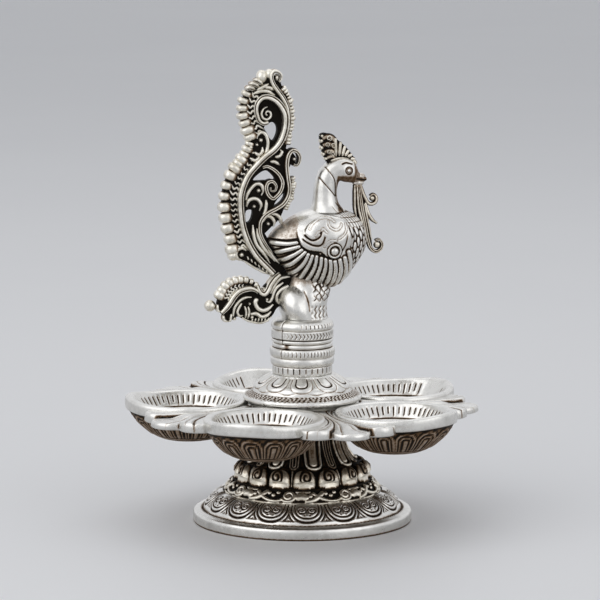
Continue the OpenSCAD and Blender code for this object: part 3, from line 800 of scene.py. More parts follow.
def tray_cups():
    slots, arches, bowl_step, reflected_brown_share = 54, 15, 0.75, 0.65
    columns = slots * 4
    bowl = eased([(0.02, 32.5), (9, 32.5), (14.5, 34.5), (19, 38.5), (21.6, 42.8), (23, 44)], 2)
    bowl_line, bowl_along = resample(bowl, bowl_step)

    def under(angle, reach, radius):
        x = repeat_x(angle, np.maximum(radius, 0.01), arches, 6.0)
        half = np.maximum(radius * math.pi / arches, 0.3)
        y = bowl_along[-1] - reach + 0 * x
        arch = petal(x, y, 0.93 * half, 5.6, 4.1, 2.2)
        zone = (1 - rise(y, 11.6, 12.4)) * rise(y, 0.9, 1.3)
        ridge = line((arch - 0.92) * 3.4, 0.4) + line((arch - 0.52) * 3.4, 0.34)
        core = 1 - rise(arch, 0.16, 0.3)
        tall = np.clip(ridge + 0.8 * core, 0, 1) * zone
        hoop = line(y - 0.9, 0.3) + line(y - 12.6, 0.4) + line(y - 15.0, 0.35)
        height = 0.5 * tall - 0.25 * zone - 0.3 * hoop
        spandrel = rise(arch, 1.1, 1.24)
        ground = (1.0 - 0.55 * tall) * (1 - spandrel) + 0.34 * spandrel
        dark = zone * ground + 0.7 * hoop + 0.4 * rise(y, 12.8, 13.5) + 0.25 * rise(y, 0.4, 1.0) * (1 - zone)
        return height * rise(radius, 2, 6), np.clip(dark, 0, 1)

    def rim(angle, reach, radius):
        # The outer band of the rim is darker: a painted reflection of warm brown surroundings.
        shade = 0.1 + 0.2 * (1 - rise(reach, 2.4, 4.0)) + 0 * angle
        return 0 * shade, shade

    def wall(angle, reach, radius):
        x = repeat_x(angle, 1.0, slots, 0.0) * slots / math.pi
        y = reach + 0 * x
        which = np.round(angle * slots / TURN)
        vary = 0.5 + 0.5 * np.sin(which * 2.4 + np.sin(which * 5.1))
        cut = (1 - rise(np.abs(x), 0.2, 0.5)) * rise(y, 1.6, 2.2) * (1 - rise(y, 4.6 + vary, 5.4 + vary))
        cut *= rise(np.abs((angle + math.pi) % TURN - math.pi), 0.2, 0.34)
        rest = line(y - 7.0, 0.4)
        return -0.4 * cut - 0.25 * rest, np.clip((0.6 + 0.4 * vary) * cut + 0.7 * rest, 0, 1)

    def bottom(angle, reach, radius):
        x, y = radius * np.cos(angle), radius * np.sin(angle)
        rings = line(radius - 12.6, 0.26) + 0.6 * line(radius - 11.2, 0.22)
        mark = np.zeros_like(x)
        for turn_deg in (90, 210, 330):
            c, s = math.cos(math.radians(turn_deg)), math.sin(math.radians(turn_deg))
            far, wide = x * c + y * s, np.abs(-x * s + y * c)
            mark = np.maximum(mark, line(wide, 0.42) * rise(far, 0.3, 0.8) * (1 - rise(far, 2.6, 3.6)))
        return -0.35 * rings - 0.35 * mark, np.clip(0.75 * rings + 0.95 * mark, 0, 1)

    sections = [("bowl", bowl, bowl_step),
                ("rim", eased([(23, 44), (23.6, 44.2), (23.6, 47.7), (23.1, 48.5), (22.2, 48.6),
                               (20.7, 48.4)], 1), 0.4),
                ("wall", eased([(20.7, 48.4), (20.2, 47.9), (15.6, 41.3), (14, 40.1)], 1), 0.6),
                ("floor", [(14, 40.1), (0.02, 39.6)], 0.9)]
    reliefs = {"bowl": under, "rim": rim, "wall": wall, "floor": bottom}
    co, faces, dark = turned(sections, columns, reliefs, loop=False)
    # The bowl's underside is painted brown, a painted reflection of the brown table below.
    brown = np.zeros(len(co))
    brown[:(len(bowl_line) - 1) * columns] = reflected_brown_share
    brown[-2] = reflected_brown_share
    rho, t = np.hypot(co[:, 0], co[:, 1]), np.arctan2(co[:, 1], co[:, 0])
    out = cup_tip(t) * rise(rho, 12.5, 22.0) * rise(co[:, 2], 34, 45)
    co[:, 2] += 1.6 * np.maximum(np.cos(t), 0) ** 5 * rise(rho, 15, 22.5) * rise(co[:, 2], 40, 46)
    co[:, 0] += out * np.cos(t)
    co[:, 1] += out * np.sin(t)
    co[:, 0] += CUP_MID_R
    source = cast("cup", Casting().add(co, faces, dark), rounds=10, gain=2.0, underside_reflection=brown)
    cups = ring_of("tray_cups", source, CUPS, FIRST_CUP, BRIGHT)
    place_piece(cups, BRIGHT, "bright_silver", "tray", "diya_tray")


def tray_edge(angle):
    """Radius of the tray's scalloped edge, three petals to a fan."""
    pitch = TURN / CUPS
    turn = (angle - math.radians(FAN_TURN) + pitch / 2) % pitch - pitch / 2
    edge = np.full(angle.shape, DISC_R)
    for mid, degrees, r in FAN_PETALS:
        across = mid * np.sin(turn - math.radians(degrees))
        reach = mid * np.cos(turn - math.radians(degrees)) + np.sqrt(np.maximum(r * r - across * across, 0))
        edge = np.where(np.abs(across) < r, np.maximum(edge, reach), edge)
    return edge


def gap_to_cups(x, y):
    """Distance from the nearest cup's rim, less than 0 within it."""
    best = np.full(x.shape, FAR)
    for i in range(CUPS):
        a = math.radians(FIRST_CUP + 360 / CUPS * i)
        dx, dy = x - CUP_MID_R * math.cos(a), y - CUP_MID_R * math.sin(a)
        best = np.minimum(best, np.hypot(dx, dy) - CUP_OUT_R - cup_tip(np.arctan2(dy, dx) - a))
    return best


def tray_plate():
    plain_r, boss_r, hub_r, under_r, lip_w, lip_low = 40.0, 22.2, 17, DISC_R - 1.4, 0.9, TRAY_LOW + 0.8
    side_line, middle_line, columns = 0.27, 0.62, 1080

    def surface(r, angle):
        """Height and darkness of the tray's top, whose bands fan out between the cups."""
        half = math.pi / CUPS
        gap = gap_to_cups(r * np.cos(angle), r * np.sin(angle))
        widest = np.hypot(r - CUP_MID_R * math.cos(half), CUP_MID_R * math.sin(half)) - CUP_OUT_R
        share = gap / widest
        cut = line((share - side_line) * widest, 0.34) + line((share - middle_line) * widest, 0.34)
        vein = (line((share - 0.45) * widest, 0.26) + line((share - 0.82) * widest, 0.26)) * rise(r, 38, 44)
        middle = rise(share, middle_line - 0.02, middle_line + 0.02)
        sides = rise(share, side_line, side_line + 0.02) * (1 - middle)
        swell = sides * half_round(share - 0.445, 0.18)
        swell += middle * half_round(share - 1, 0.4)
        inner = 1 - rise(r, 22.5, 24.5)
        z = TRAY_TOP - 0.2 + 0.3 * swell - 0.45 * cut - 0.25 * vein
        z = z - 1.3 * middle * rise(r, 54, 60) - 0.3 * inner
        lip = 1 - np.clip((tray_edge(angle) - r) / lip_w, 0, 1)
        z = lip_low + (z - lip_low) * (1 - lip ** 2.4) ** (1 / 2.4)
        return z, np.clip(0.8 * cut + 0.45 * vein + 0.75 * inner, 0, 1)

    # The whole underside is darkened evenly: painted shade under the tray.
    def painted_underside_shade(angle, reach, radius):
        return np.zeros(np.broadcast(angle, reach).shape), np.full(np.broadcast(angle, reach).shape, 0.4)

    sections = [("rim", [(under_r, TRAY_LOW), (DISC_R - 0.3, TRAY_LOW + 0.2), (DISC_R, lip_low)], 0.4),
                ("lip", [(DISC_R, TRAY_TOP), (DISC_R - lip_w, TRAY_TOP)], 0.12),
                ("top", [(DISC_R - lip_w, TRAY_TOP), (boss_r, TRAY_TOP)], 0.45),
                ("boss", [(boss_r, TRAY_TOP), (boss_r, SEAT_TOP), (BORE_R, SEAT_TOP)], 3),
                ("bore", [(BORE_R, SEAT_TOP), (BORE_R, BELL_TOP)], 4),
                ("hub", [(BORE_R, BELL_TOP), (hub_r, BELL_TOP), (hub_r, TRAY_LOW)], 3),
                ("under", [(hub_r, TRAY_LOW), (under_r, TRAY_LOW)], 1.2)]
    co, faces, dark = turned(sections, columns, {"under": painted_underside_shade})
    rho, t = np.hypot(co[:, 0], co[:, 1]), np.arctan2(co[:, 1], co[:, 0])
    top = (np.abs(co[:, 2] - TRAY_TOP) < 1e-6) & (rho > boss_r + 0.1)
    wide = rho + np.maximum(rho - plain_r, 0) / (DISC_R - plain_r) * (tray_edge(t) - DISC_R)
    co[:, :2] *= (wide / rho)[:, None]
    co[top, 2], dark[top] = surface(wide[top], t[top])
    mid = co[np.array(faces)].mean(1)
    hidden = (gap_to_cups(mid[:, 0], mid[:, 1]) < -1.1) & (np.hypot(mid[:, 0], mid[:, 1]) > boss_r + 0.4)
    faces = np.array(faces)[~hidden]
    used = np.unique(faces)
    index = np.full(len(co), -1)
    index[used] = np.arange(len(used))
    piece = cast("tray_plate", Casting().add(co[used], index[faces].tolist(), dark[used]), rounds=6, gain=1.0)
    place_piece(piece, BRIGHT, "bright_silver", "tray")


# Collar and pillar

def collar():
    petals, first, columns = 10, 18.0, 720

    def granulated(angle, reach, radius):
        across = np.sin(angle * 72 + 2 * np.sin(3 * reach))
        along = np.sin(reach * 4.4 + 2 * np.sin(angle * 9))
        beads = 0.5 + 0.5 * across * along
        return 0.3 * beads - 0.15, 0.85 - 0.75 * beads

    def lotus(angle, reach, radius):
        x = repeat_x(angle, radius, petals, first)
        y = reach + 0 * x
        half = radius * math.pi / petals
        f = petal(x, y, 0.86 * half, 6.6, 5.2, 2.4)
        outline = line((f - 1) * 4.4, 0.32)
        slit = line((f - 0.55) * 4.4, 0.36)
        foot_arc = line(y - 1.2 - 0.6 * np.cos(x / half * math.pi), 0.25) * rise(f, 1.02, 1.12)
        swell = 0.45 * np.sqrt(np.clip(1 - f, 0, 1))
        cut = np.clip(0.45 * outline + slit + 0.45 * foot_arc, 0, 1) * (1 - rise(y, 9.3, 9.9))
        return swell - 0.45 * cut, 0.85 * cut

    sections = [("ring", eased([(22.8, SEAT_TOP), (23.6, 49.2), (23.6, 50.2), (22.9, 50.9)]), 0.3),
                ("groove", [(22.9, 50.9), (21.9, 51), (20.8, 51.6), (19.7, 52.5)], 0.24),
                ("dome", eased([(19.7, 52.5), (19.4, 53.8), (18.6, 55.1), (16.6, 56.5), (14, 57.9),
                                (12.6, 58.7), (12.4, COLLAR_TOP)], 1), 0.26),
                ("top", [(12.4, COLLAR_TOP), (BORE_R, COLLAR_TOP)], 5),
                ("bore", [(BORE_R, COLLAR_TOP), (BORE_R, SEAT_TOP)], 5),
                ("base", [(BORE_R, SEAT_TOP), (22.8, SEAT_TOP)], 5)]
    reliefs = {"groove": granulated, "dome": lotus}
    piece = cast("collar_casting", Casting().add(*turned(sections, columns, reliefs)))
    place_piece(piece, BRIGHT, "bright_silver", "peacock", "lotus_collar")


def pillar():
    seam_turn, columns = math.radians(230), 600
    socket_r, socket_z, core_z = 4.05, 73.6, 70.0

    def dentils(angle, reach, radius):
        x = repeat_x(angle, 1.0, 30, 2.0) * 30 / math.pi
        y = reach + 0 * x
        vary = 0.8 + 0.2 * np.sin(7 * angle + 2 * np.sin(3 * angle))
        cut = (1 - rise(np.abs(x), 0.12, 0.3)) * rise(y, 0.4, 0.7) * (1 - rise(y, 3.0, 3.3)) * vary
        return -0.35 * cut, 0.8 * cut

    def seam(angle, radius):
        return line(np.abs((angle - seam_turn + math.pi) % TURN - math.pi) * radius, 0.24)

    def plain(angle, reach, radius):
        cut = seam(angle, radius) + 0 * reach
        return -0.3 * cut, 0.8 * cut + 0.9 * rise(reach, 1.7, 2.3)

    def chiselled(angle, reach, radius):
        """Slanting chisel marks, deeper on one side of the drum."""
        x = angle * radius
        y = reach - 2.2 + 0 * x
        p = x / 1.55 + 0.4 * np.abs(y) + 0.2 * np.sin(5 * angle)
        deep = 0.25 + 0.75 * rise(np.cos(angle + 0.7), -0.2, 0.7)
        mark = line(off_nearest(p) * 1.55, 0.22) * (1 - rise(np.abs(y), 1.0, 1.5)) * deep
        cut = np.maximum(mark, seam(angle, radius))
        return -0.28 * cut, 0.75 * cut

    def notched(angle, reach, radius):
        x = repeat_x(angle, radius, 44, 0.0)
        side = rise(np.cos(angle + 0.75), 0.55, 0.75)
        mark = line(x, 0.26) * rise(reach, 0.8, 1.4) * (1 - rise(reach, 2.8, 3.4)) * side
        cut = np.maximum(mark, seam(angle, radius))
        return -0.35 * cut, 0.8 * cut

    def recessed(angle, reach, radius):
        patch = line((angle - seam_turn - 0.16) * radius, 1.5) + 0 * reach
        return -0.2 * patch, 0.25 + 0.5 * patch

    def hoop(low, high, r):
        return eased([(r - 0.9, low), (r - 0.2, low + 0.25), (r, (low + high) / 2), (r - 0.2, high - 0.25),
                      (r - 0.9, high)])

    cap = eased([(11.7, 77.2), (12.4, 77.6), (12.5, 79.0), (11.6, 80.4), (10.2, PILLAR_TOP)])
    sections = [("dentils", [(11.6, COLLAR_TOP), (11.9, 59.6), (11.9, 62.4), (11.4, 62.8)], 0.3),
                ("low_ring", hoop(62.8, 66.2, 12.7), 0.35), ("torus", hoop(66.2, 69.8, 13.0), 0.35),
                ("thin_ring", hoop(69.8, 71.8, 12.1), 0.35), ("upper_ring", hoop(71.8, 73.5, 12.3), 0.35),
                ("drum", [(11.5, 73.5), (12.3, 73.8), (12.3, 76.9), (11.7, 77.2)], 0.3),
                ("cap", cap, 0.35),
                ("top", [(10.2, PILLAR_TOP), (socket_r, PILLAR_TOP)], 4),
                ("socket", [(socket_r, PILLAR_TOP), (socket_r, socket_z), (0.02, socket_z)], 4),
                ("core", [(0.02, core_z), (BORE_R, core_z), (BORE_R, COLLAR_TOP)], 4),
                ("base", [(BORE_R, COLLAR_TOP), (11.6, COLLAR_TOP)], 4)]
    reliefs = {"dentils": dentils, "torus": chiselled, "thin_ring": recessed, "upper_ring": plain,
               "drum": chiselled, "cap": notched}
    piece = cast("pillar_casting", Casting().add(*turned(sections, columns, reliefs)))
    place_piece(piece, BRIGHT, "bright_silver", "peacock", "pillar")


# Peacock, made in its own plane of U and Z and then turned

BODY = [(-14, 113.7, 111.6, 1.9), (-11.7, 116.3, 107.9, 5.8), (-8.8, 118.6, 102.6, 8.4),
        (-4.9, 121.3, 98.1, 10.5), (0, 123.7, 95.8, 11.9), (4.9, 124.8, 94.6, 12.5), (9.7, 125.2, 93.7, 12.5),
        (13.6, 124.8, 94.3, 11.9), (17.5, 123.9, 97.6, 10.5), (21.4, 121.7, 102, 8.2),
        (24.3, 118.4, 106.3, 5.1), (25.7, 114.1, 109.8, 1.9)]
LEG = [(1.2, PILLAR_TOP, 9.2, 8.4), (1.2, 83.9, 8.8, 8), (1.6, 87.8, 8.4, 7.8), (2.3, 91.2, 8.9, 7.2),
       (3, 94.6, 8.6, 5.6), (3.9, 99, 8, 5)]
NECK = [(9.9, 123.5, 90, 7, 7), (9.3, 126.6, 90, 5.3, 5.4), (9.1, 130, 90, 4.7, 4.8),
        (9.5, 133.8, 84, 4.6, 4.6), (10.7, 137.3, 62, 4.6, 4.5), (13.2, 139.4, 28, 4.6, 4.5),
        (16.4, 139.9, 4, 5, 4.6), (19.2, 139.1, -14, 4.5, 4.1), (21.1, 137.5, -16, 3.2, 3.1),
        (22.6, 136.6, -8, 2, 1.9), (24.4, 136.1, -6, 1.5, 1.3), (25.9, 135.8, -6, 0.5, 0.5)]

WING_RIBS = [[(-4.5, 112.5), (-7.5, 112), (-10.6, 112), (-13.1, 112.1)],
             [(-3.6, 111), (-6.4, 110.1), (-8.9, 109.3), (-11, 108.4)],
             [(-2.6, 109.7), (-4.8, 108.1), (-7.2, 106.6), (-9.3, 105.3)],
             [(-1.3, 108.8), (-3.5, 106.5), (-5.9, 104.2), (-8, 102.8)],
             [(-0.1, 107.9), (-1.4, 104.7), (-3.5, 101.8), (-5.8, 99.8)],
             [(1.5, 107.3), (0.4, 103.8), (-0.9, 100.8), (-1.9, 98.2)],
             [(3.2, 107), (2.8, 103.4), (1.7, 99.7), (0.5, 96.5)],
             [(5.1, 106.4), (4.9, 103), (4, 99), (3.2, 95.4)],
             [(6.8, 105.9), (6.9, 102.3), (6.3, 98.3), (5.4, 94.3)],
             [(8.7, 105.3), (9.1, 101.5), (8.8, 97.5), (7.6, 93.8)],
             [(10.6, 104.8), (11.2, 101), (10.9, 97.1), (9.8, 93.5)],
             [(12.6, 105.3), (13.4, 101.3), (13.1, 97.7), (11.9, 93.9)],
             [(14.7, 106), (15.6, 102.1), (15.6, 98.4), (14.5, 95)],
             [(16.4, 108.3), (17.4, 104.1), (17.6, 99.9), (16.9, 96.6)]]
BOSS = [(-3.8, 117.4), (-3.7, 114.3), (-2.9, 111.4), (-0.4, 109.5), (2.2, 109), (4.9, 108.6), (6.5, 107.2),
        (9, 106), (12, 106.4), (13.8, 109.5), (14.8, 113), (15, 117), (13.4, 120.6), (9.6, 122.8),
        (3.1, 122.6), (-1.8, 120.4)]
FINE_SCROLLS = [[(0.8, 117.2), (1.6, 118.4), (3.1, 119.6), (5.1, 120.4), (7.1, 120.5), (8.8, 120.1),
                 (10, 119.3)],
                [(7.8, 119.4), (8, 117.9), (9.1, 117), (10.8, 116.6), (12.2, 117.5), (12.6, 118.4)],
                [(14.4, 118.7), (14.6, 116.7), (13.5, 114.9), (11.5, 113.6)],
                [(6.1, 110.9), (7.1, 112.4), (8.9, 113.1), (10.6, 112.8)],
                [(7, 115.8), (5.7, 117.1), (5, 116.4), (3.7, 115.9), (2.8, 114.9)]]
BROAD_SCROLLS = [[(-1.1, 115.2), (0, 114.1), (1.6, 113.4), (3.3, 113.8), (4.6, 114.8), (4.9, 115.9)],
                 [(-2, 113.7), (-0.7, 112.7), (1.5, 111.6), (3.9, 111.3), (5.4, 112.2), (6.2, 114.2)]]


def inside(x, y, loop):
    """True within a closed line of points."""
    hit = np.zeros(np.broadcast(x, y).shape, bool)
    for (ax, ay), (bx, by) in zip(loop, np.roll(loop, -1, 0)):
        if ay != by:
            hit ^= ((ay > y) != (by > y)) & (x < (bx - ax) * (y - ay) / (by - ay) + ax)
    return hit


def cuts(u, z, paths, width, apart=0.0):
    """Engraved lines along some paths, or to both sides of them."""
    total = np.zeros_like(u)
    for path in paths:
        total = np.maximum(total, line(path_gap(u, z, smooth_path(path, 5)) - apart, width))
    return total


def lofted(rings, marks):
    """A closed skin over rings of points, raised and darkened by its marks of U, Z and depth."""
    normal = np.cross(np.gradient(rings, axis=0), np.roll(rings, -1, 1) - np.roll(rings, 1, 1))
    normal /= np.linalg.norm(normal, axis=2)[..., None]
    if ((rings - rings.mean(1, keepdims=True)) * normal).sum() < 0:
        normal = -normal
    height, dark = marks(rings[..., 0], rings[..., 2], rings[..., 1])
    co = rings + normal * height[..., None]
    rows, columns = rings.shape[:2]
    shade = np.clip(dark, 0, 1).ravel()
    return close_ends(co.reshape(-1, 3), grid_faces(rows, columns, False), shade, rows, columns)


def place_bird(name, shells, finish, slot, node, rounds=2, gain=0.6):
    """Casts a piece of the peacock and sets it in its place."""
    piece = turn_bird(cast(name, shells, rounds, gain))
    place_piece(piece, finish, slot, "peacock", node)


def peacock_body():
    columns = 320
    ring_at, ring_r, bead_r = (10.2, 109), 2.5, 1.45

    def feathers(u, z, y):
        tall, near = np.zeros_like(u), np.full(u.shape, FAR)
        wide = 0.5 + 0.035 * np.hypot(u - 4, z - 113)
        for rib in WING_RIBS:
            gap = path_gap(u, z, smooth_path(rib, 6))
            tall = np.maximum(tall, half_round(gap, wide))
            near = np.minimum(near, gap)
        loop = smooth_path(BOSS, 6, closed=True)
        boss = inside(u, z, loop)
        edge = path_gap(u, z, np.concatenate([loop, loop[:1]]))
        wing = (1 - rise(near, 1.3, 2.0)) * rise(np.where(boss, -edge, edge), -0.3, 0.3)
        crown = 1 - ((u - 8.4) / 10.5) ** 2 - ((z - 114.1) / 7.6) ** 2
        pillow = np.maximum(9.2 + 4.8 * np.sqrt(np.maximum(crown, 0)) - np.abs(y), 0) * (crown > 0)
        ledge = boss * (1 - rise(z, 113, 118)) * np.sqrt(1 - (1 - np.clip(edge / 2.5, 0, 1)) ** 2)
        pillow = np.maximum(pillow, 0.8 * ledge)
        rho = np.hypot(u - ring_at[0], z - ring_at[1])
        ring = line(rho - ring_r, 0.4)
        groove = line(rho - ring_r - 0.55, 0.28) + line(rho - ring_r + 0.65, 0.36)
        bead = half_round(rho, bead_r)
        fine = 0.6 * cuts(u, z, FINE_SCROLLS, 0.2, 0.42)
        etched = np.clip(fine + cuts(u, z, BROAD_SCROLLS, 0.5), 0, 1) * (rho > ring_r)
        under = line(edge, 0.4) * (1 - rise(z, 112, 117)) * (rho > ring_r)
        round_breast = np.arctan2(np.abs(y), u - 6) * 17
        column = round_breast / 1.75
        row = z / 4.4 + 0.5 * (np.round(column) % 2) + 0.06 * np.sin(3 * np.round(column))
        drop = (off_nearest(column) / 0.44) ** 2 + (off_nearest(row) / 0.47) ** 2
        scale = rise(drop, 0.45, 1.0)
        p, q = round_breast / 1.5, z / 1.9
        net = np.maximum(line(off_nearest(p) * 1.5, 0.2), 0.8 * line(off_nearest(q) * 1.9, 0.2))
        upper = rise(z, 117.2, 118.2)
        front = rise(u + 0.35 * np.maximum(z - 113, 0), 16.6, 17.4) * (1 - wing) * ~boss
        breast = front * ((1 - upper) * scale + upper * net)
        saddle = (1 - rise(u, -3.5, -1.5)) * rise(z, 112.6, 114) * ~boss
        height = wing * (0.85 * tall - 0.25) + pillow - 0.3 * etched - 0.4 * under - 0.35 * breast
        height += 0.5 * ring - 0.4 * groove + 0.8 * bead
        gloom = 1 - 0.35 * rise(u, 5, 9)
        dark = wing * (1 - rise(tall, 0.42, 0.86)) * gloom + 0.9 * etched + 0.8 * under
        dark = dark + 0.75 * breast + 0.8 * groove
        # The lowest part of the body is darkened: painted shade under the body where it meets the leg.
        return height, dark + 0.42 * saddle + 0.5 * (1 - rise(z, 95.6, 97.4))

    def thigh(u, z, y):
        folds = 0.5 * cuts(u, z, [[(-0.6, 92.4), (0.4, 90), (0.9, 87.2), (1.2, 84.8)]], 0.5)
        sway = 0.12 * np.sin(1.7 * z + u)
        p, q = (u - 4) / 2.7 + z / 3.6 + sway, (u - 4) / 2.7 - z / 3.6 + sway
        net = np.maximum(line(off_nearest(p) * 2.1, 0.26), line(off_nearest(q) * 2.1, 0.26))
        net *= rise(u, 2.4, 3.4) * rise(z, 87.6, 89)
        lean = 0.35 * (88.5 - z)
        swell = 3.6 * np.clip(1 - ((u + 5.4 - lean) / 6.4) ** 2 - ((z - 87) / 9.4) ** 2, 0, 1) ** 1.5
        toe = u / 1.9 + 0.16 * np.sin(2.6 * z)
        toes = line(off_nearest(toe) * 1.9, 0.36) * rise(u, 1.6, 2.6) * (1 - rise(z, 86.2, 87.4))
        height = swell - 0.4 * folds - 0.25 * net - 0.35 * toes
        # The leg darkens towards its top: painted shade under the body.
        return height, 0.9 * folds + 0.75 * net + 0.5 * toes + 0.45 * rise(z, 92.5, 97)

    t = np.arange(columns) * TURN / columns
    u, top, low, half = smooth_path(BODY, 15).T[..., None]
    body = np.stack([u + 0 * t, half * np.sin(t), (top + low) / 2 + (top - low) / 2 * np.cos(t)], -1)
    t = t[::2]
    u, z, long, half = smooth_path(LEG, 12).T[..., None]
    leg = np.stack([u + long * np.cos(t), half * np.sin(t), z + 0 * t], -1)
    shells = Casting().add(*lofted(body, feathers)).add(*lofted(leg, thigh))
    place_bird("peacock_casting", shells, BRIGHT, "bright_silver", "peacock_body", rounds=10, gain=1.6)


def neck_head():
    eye_at, columns = (18, 139.7), 150

    def features(u, z, y):
        hood = cuts(u, z, [[(6.2, 137), (9.4, 133.2), (12.8, 129.6)],
                           [(8.7, 141.1), (11.4, 137.5), (12.5, 134.8), (12.8, 129.6)]], 0.24)
        throat = cuts(u, z, [[(12.6, 127.2), (15.7, 123.3)], [(10.8, 126), (13.1, 123.2)]], 0.16)
        brow = cuts(u, z, [[(15.3, 142.4), (16.9, 142.9), (19.4, 142.3)]], 0.42)
        mouth = cuts(u, z, [[(21.5, 136.2), (25.5, 135.5)]], 0.25)
        rho = np.hypot(u - eye_at[0], z - eye_at[1])
        lid = line(rho - 1.45, 0.3) + 0.7 * line(rho - 0.85, 0.22)
        pupil = half_round(rho, 0.7)
        # chin is painted shade on the lower part of the head, below the eye.
        chin = rise(u, 12.4, 13.8) * (1 - rise(u, 19.8, 20.8)) * (1 - rise(z, 136.9, 138.7))
        bill = line(u - 20.7, 0.5) + 0.8 * rise(u, 20.8, 21.5)
        height = -0.25 * hood - 0.2 * throat - 0.35 * brow - 0.2 * mouth - 0.25 * lid + 0.45 * pupil
        return height, 0.9 * hood + 0.45 * throat + brow + mouth + 0.9 * lid + 0.62 * chin + 0.6 * bill

    t = np.arange(columns) * TURN / columns
    u, z, slope, high, wide = smooth_path(NECK, 14).T[..., None]
    slope = np.radians(slope)
    rings = np.stack([u - np.sin(slope) * high * np.cos(t), wide * np.sin(t),
                      z + np.cos(slope) * high * np.cos(t)], -1)
    shells = Casting().add(*lofted(rings, features))
    for spot, radii in (((22.7, 0, 137), (2.7, 1.7, 1.4)), ((22.5, 0, 134.4), (2.4, 1.5, 1.35))):
        shells.add(*ball(spot, radii, 16, 24, 0.4))
    place_bird("head_casting", shells, BRIGHT, "bright_silver", "neck_head", rounds=6, gain=1.0)


# Openwork strands

def both_sides(front):
    """A section whose back mirrors its front."""
    return front + [(a, -t, d) for a, t, d in front[-2:0:-1]]


RIDGE = both_sides([(-1, 0, 0.5), (-0.85, 0.7, 0.1), (-0.5, 0.95, 0), (0, 1, 0), (0.5, 0.95, 0),
                    (0.85, 0.7, 0.1), (1, 0, 0.5)])
DOUBLE = both_sides([(-1, 0, 1), (-0.94, 0.5, 0.95), (-0.76, 0.88, 0.3), (-0.5, 1, 0), (-0.2, 0.9, 0.2),
                     (0, 0.72, 1), (0.2, 0.9, 0.2), (0.5, 1, 0), (0.76, 0.88, 0.3), (0.94, 0.5, 0.95),
                     (1, 0, 1)])
FLANKED = both_sides([(-1, 0, 1), (-0.92, 0.5, 0.95), (-0.66, 0.86, 0.35), (-0.3, 1, 0), (0.3, 1, 0),
                      (0.66, 0.86, 0.35), (0.92, 0.5, 0.95), (1, 0, 1)])
LINED = both_sides([(-1, 0, 0.4), (-0.95, 0.7, 0.05), (-0.78, 0.92, 0), (-0.6, 0.8, 0.25), (-0.48, 0.6, 1),
                    (-0.34, 0.8, 0.25), (-0.1, 1, 0), (0.5, 1, 0), (0.86, 0.78, 0.1), (1, 0, 0.5)])


def strand(points, wide, deep, section=RIDGE, start=0.4, end=0.4):
    """A tapering strand along a smooth line."""
    path, along = resample(smooth_path(points, 10), 0.35)
    t = along / along[-1]
    swell = (start + (1 - start) * rise(t, 0, 0.22)) * (1 - (1 - end) * rise(t, 0.72, 1))
    return swept(path, wide * swell, deep * (0.6 + 0.4 * swell), section)


def inset(points, gap):
    """A line moved to its right."""
    p = smooth_path(points, 6)
    d = np.gradient(p, axis=0)
    d /= np.linalg.norm(d, axis=1)[:, None]
    return p + np.stack([d[:, 1], -d[:, 0]], 1) * gap


def add_beads(shells, beads, depth):
    """Round beads, each given as its spot and its radius."""
    for (u, z), radius in beads:
        shells.add(*ball((u, 0, z), (radius, depth, radius)))


def crest():
    tips = [(13, 152.3), (15.1, 150.8), (16.9, 149.2), (18.4, 147.5), (19.7, 145.8), (20.8, 143.8),
            (21.4, 142)]
    roots = [(13.3, 145.2), (14.6, 145.4), (15.8, 145.2), (16.9, 145.2), (18, 145), (19.2, 144.4),
             (20.3, 143.6)]
    leaves = [([(13.2, 150.4), (12, 152.4), (10, 153.1), (7.9, 152.3)], 1.3),
              ([(12.9, 147.9), (11.8, 149.6), (10, 150.2), (8.1, 149.6)], 1.3),
              ([(12.8, 146), (11.8, 147.2), (10.4, 147.5), (8.8, 146.9)], 1.15),
              ([(13, 144.5), (12, 145.2), (11, 145.2), (9.8, 144.7)], 1.0)]
    # Middle, radius, first angle and turn of each curl on the leaves, in degrees
    curls = [((10.4, 152.5), 1.15, -80, 430), ((9.6, 149.9), 1.0, -80, 430), ((12.2, 149.4), 1.1, 200, -430),
             ((10.2, 147.1), 0.95, -80, 430), ((11.9, 146.1), 0.8, 200, -430)]
    lumps = [((7.7, 153.3), 0.85), ((7.5, 151.4), 0.95), ((7.6, 148.7), 0.95), ((8.3, 146.2), 0.9),
             ((9.3, 144.4), 0.85)]
    back = smooth_path([(7, 153.8), (10, 154.3), (13.3, 152.2), (16.8, 149.3), (19.4, 146.3), (21, 142.8),
                        (16, 142.4), (10.4, 142.6), (8.6, 145), (7.4, 149)], 5, closed=True)
    shells = Casting().add(*filled(back, [], 1.3, 0.95))
    for tip, root in zip(tips, roots):
        middle = ((tip[0] + root[0]) / 2, (tip[1] + root[1]) / 2)
        shells.add(*strand([root, middle, tip], 0.86, 1.9, FLANKED, end=0.9))
    for points, wide in leaves:
        co, faces, dark = strand(points, wide, 1.55, FLANKED, 0.5, 0.85)
        shells.add(co, faces, dark + 0.38)
    for middle, radius, first, turn in curls:
        path = curl(middle, radius, 0.4 * radius, first, turn)
        shells.add(*strand(path, 0.3 * radius, 2.2, FLANKED, 0.5, 0.8))
    add_beads(shells, lumps, 1.9)
    shells.add(*strand([(11.2, 143.6), (14.5, 144.4), (18, 143.9), (20.8, 142.2)], 0.6, 1.9))
    place_bird("crest_casting", shells, AGED, "aged_silver", "crest")


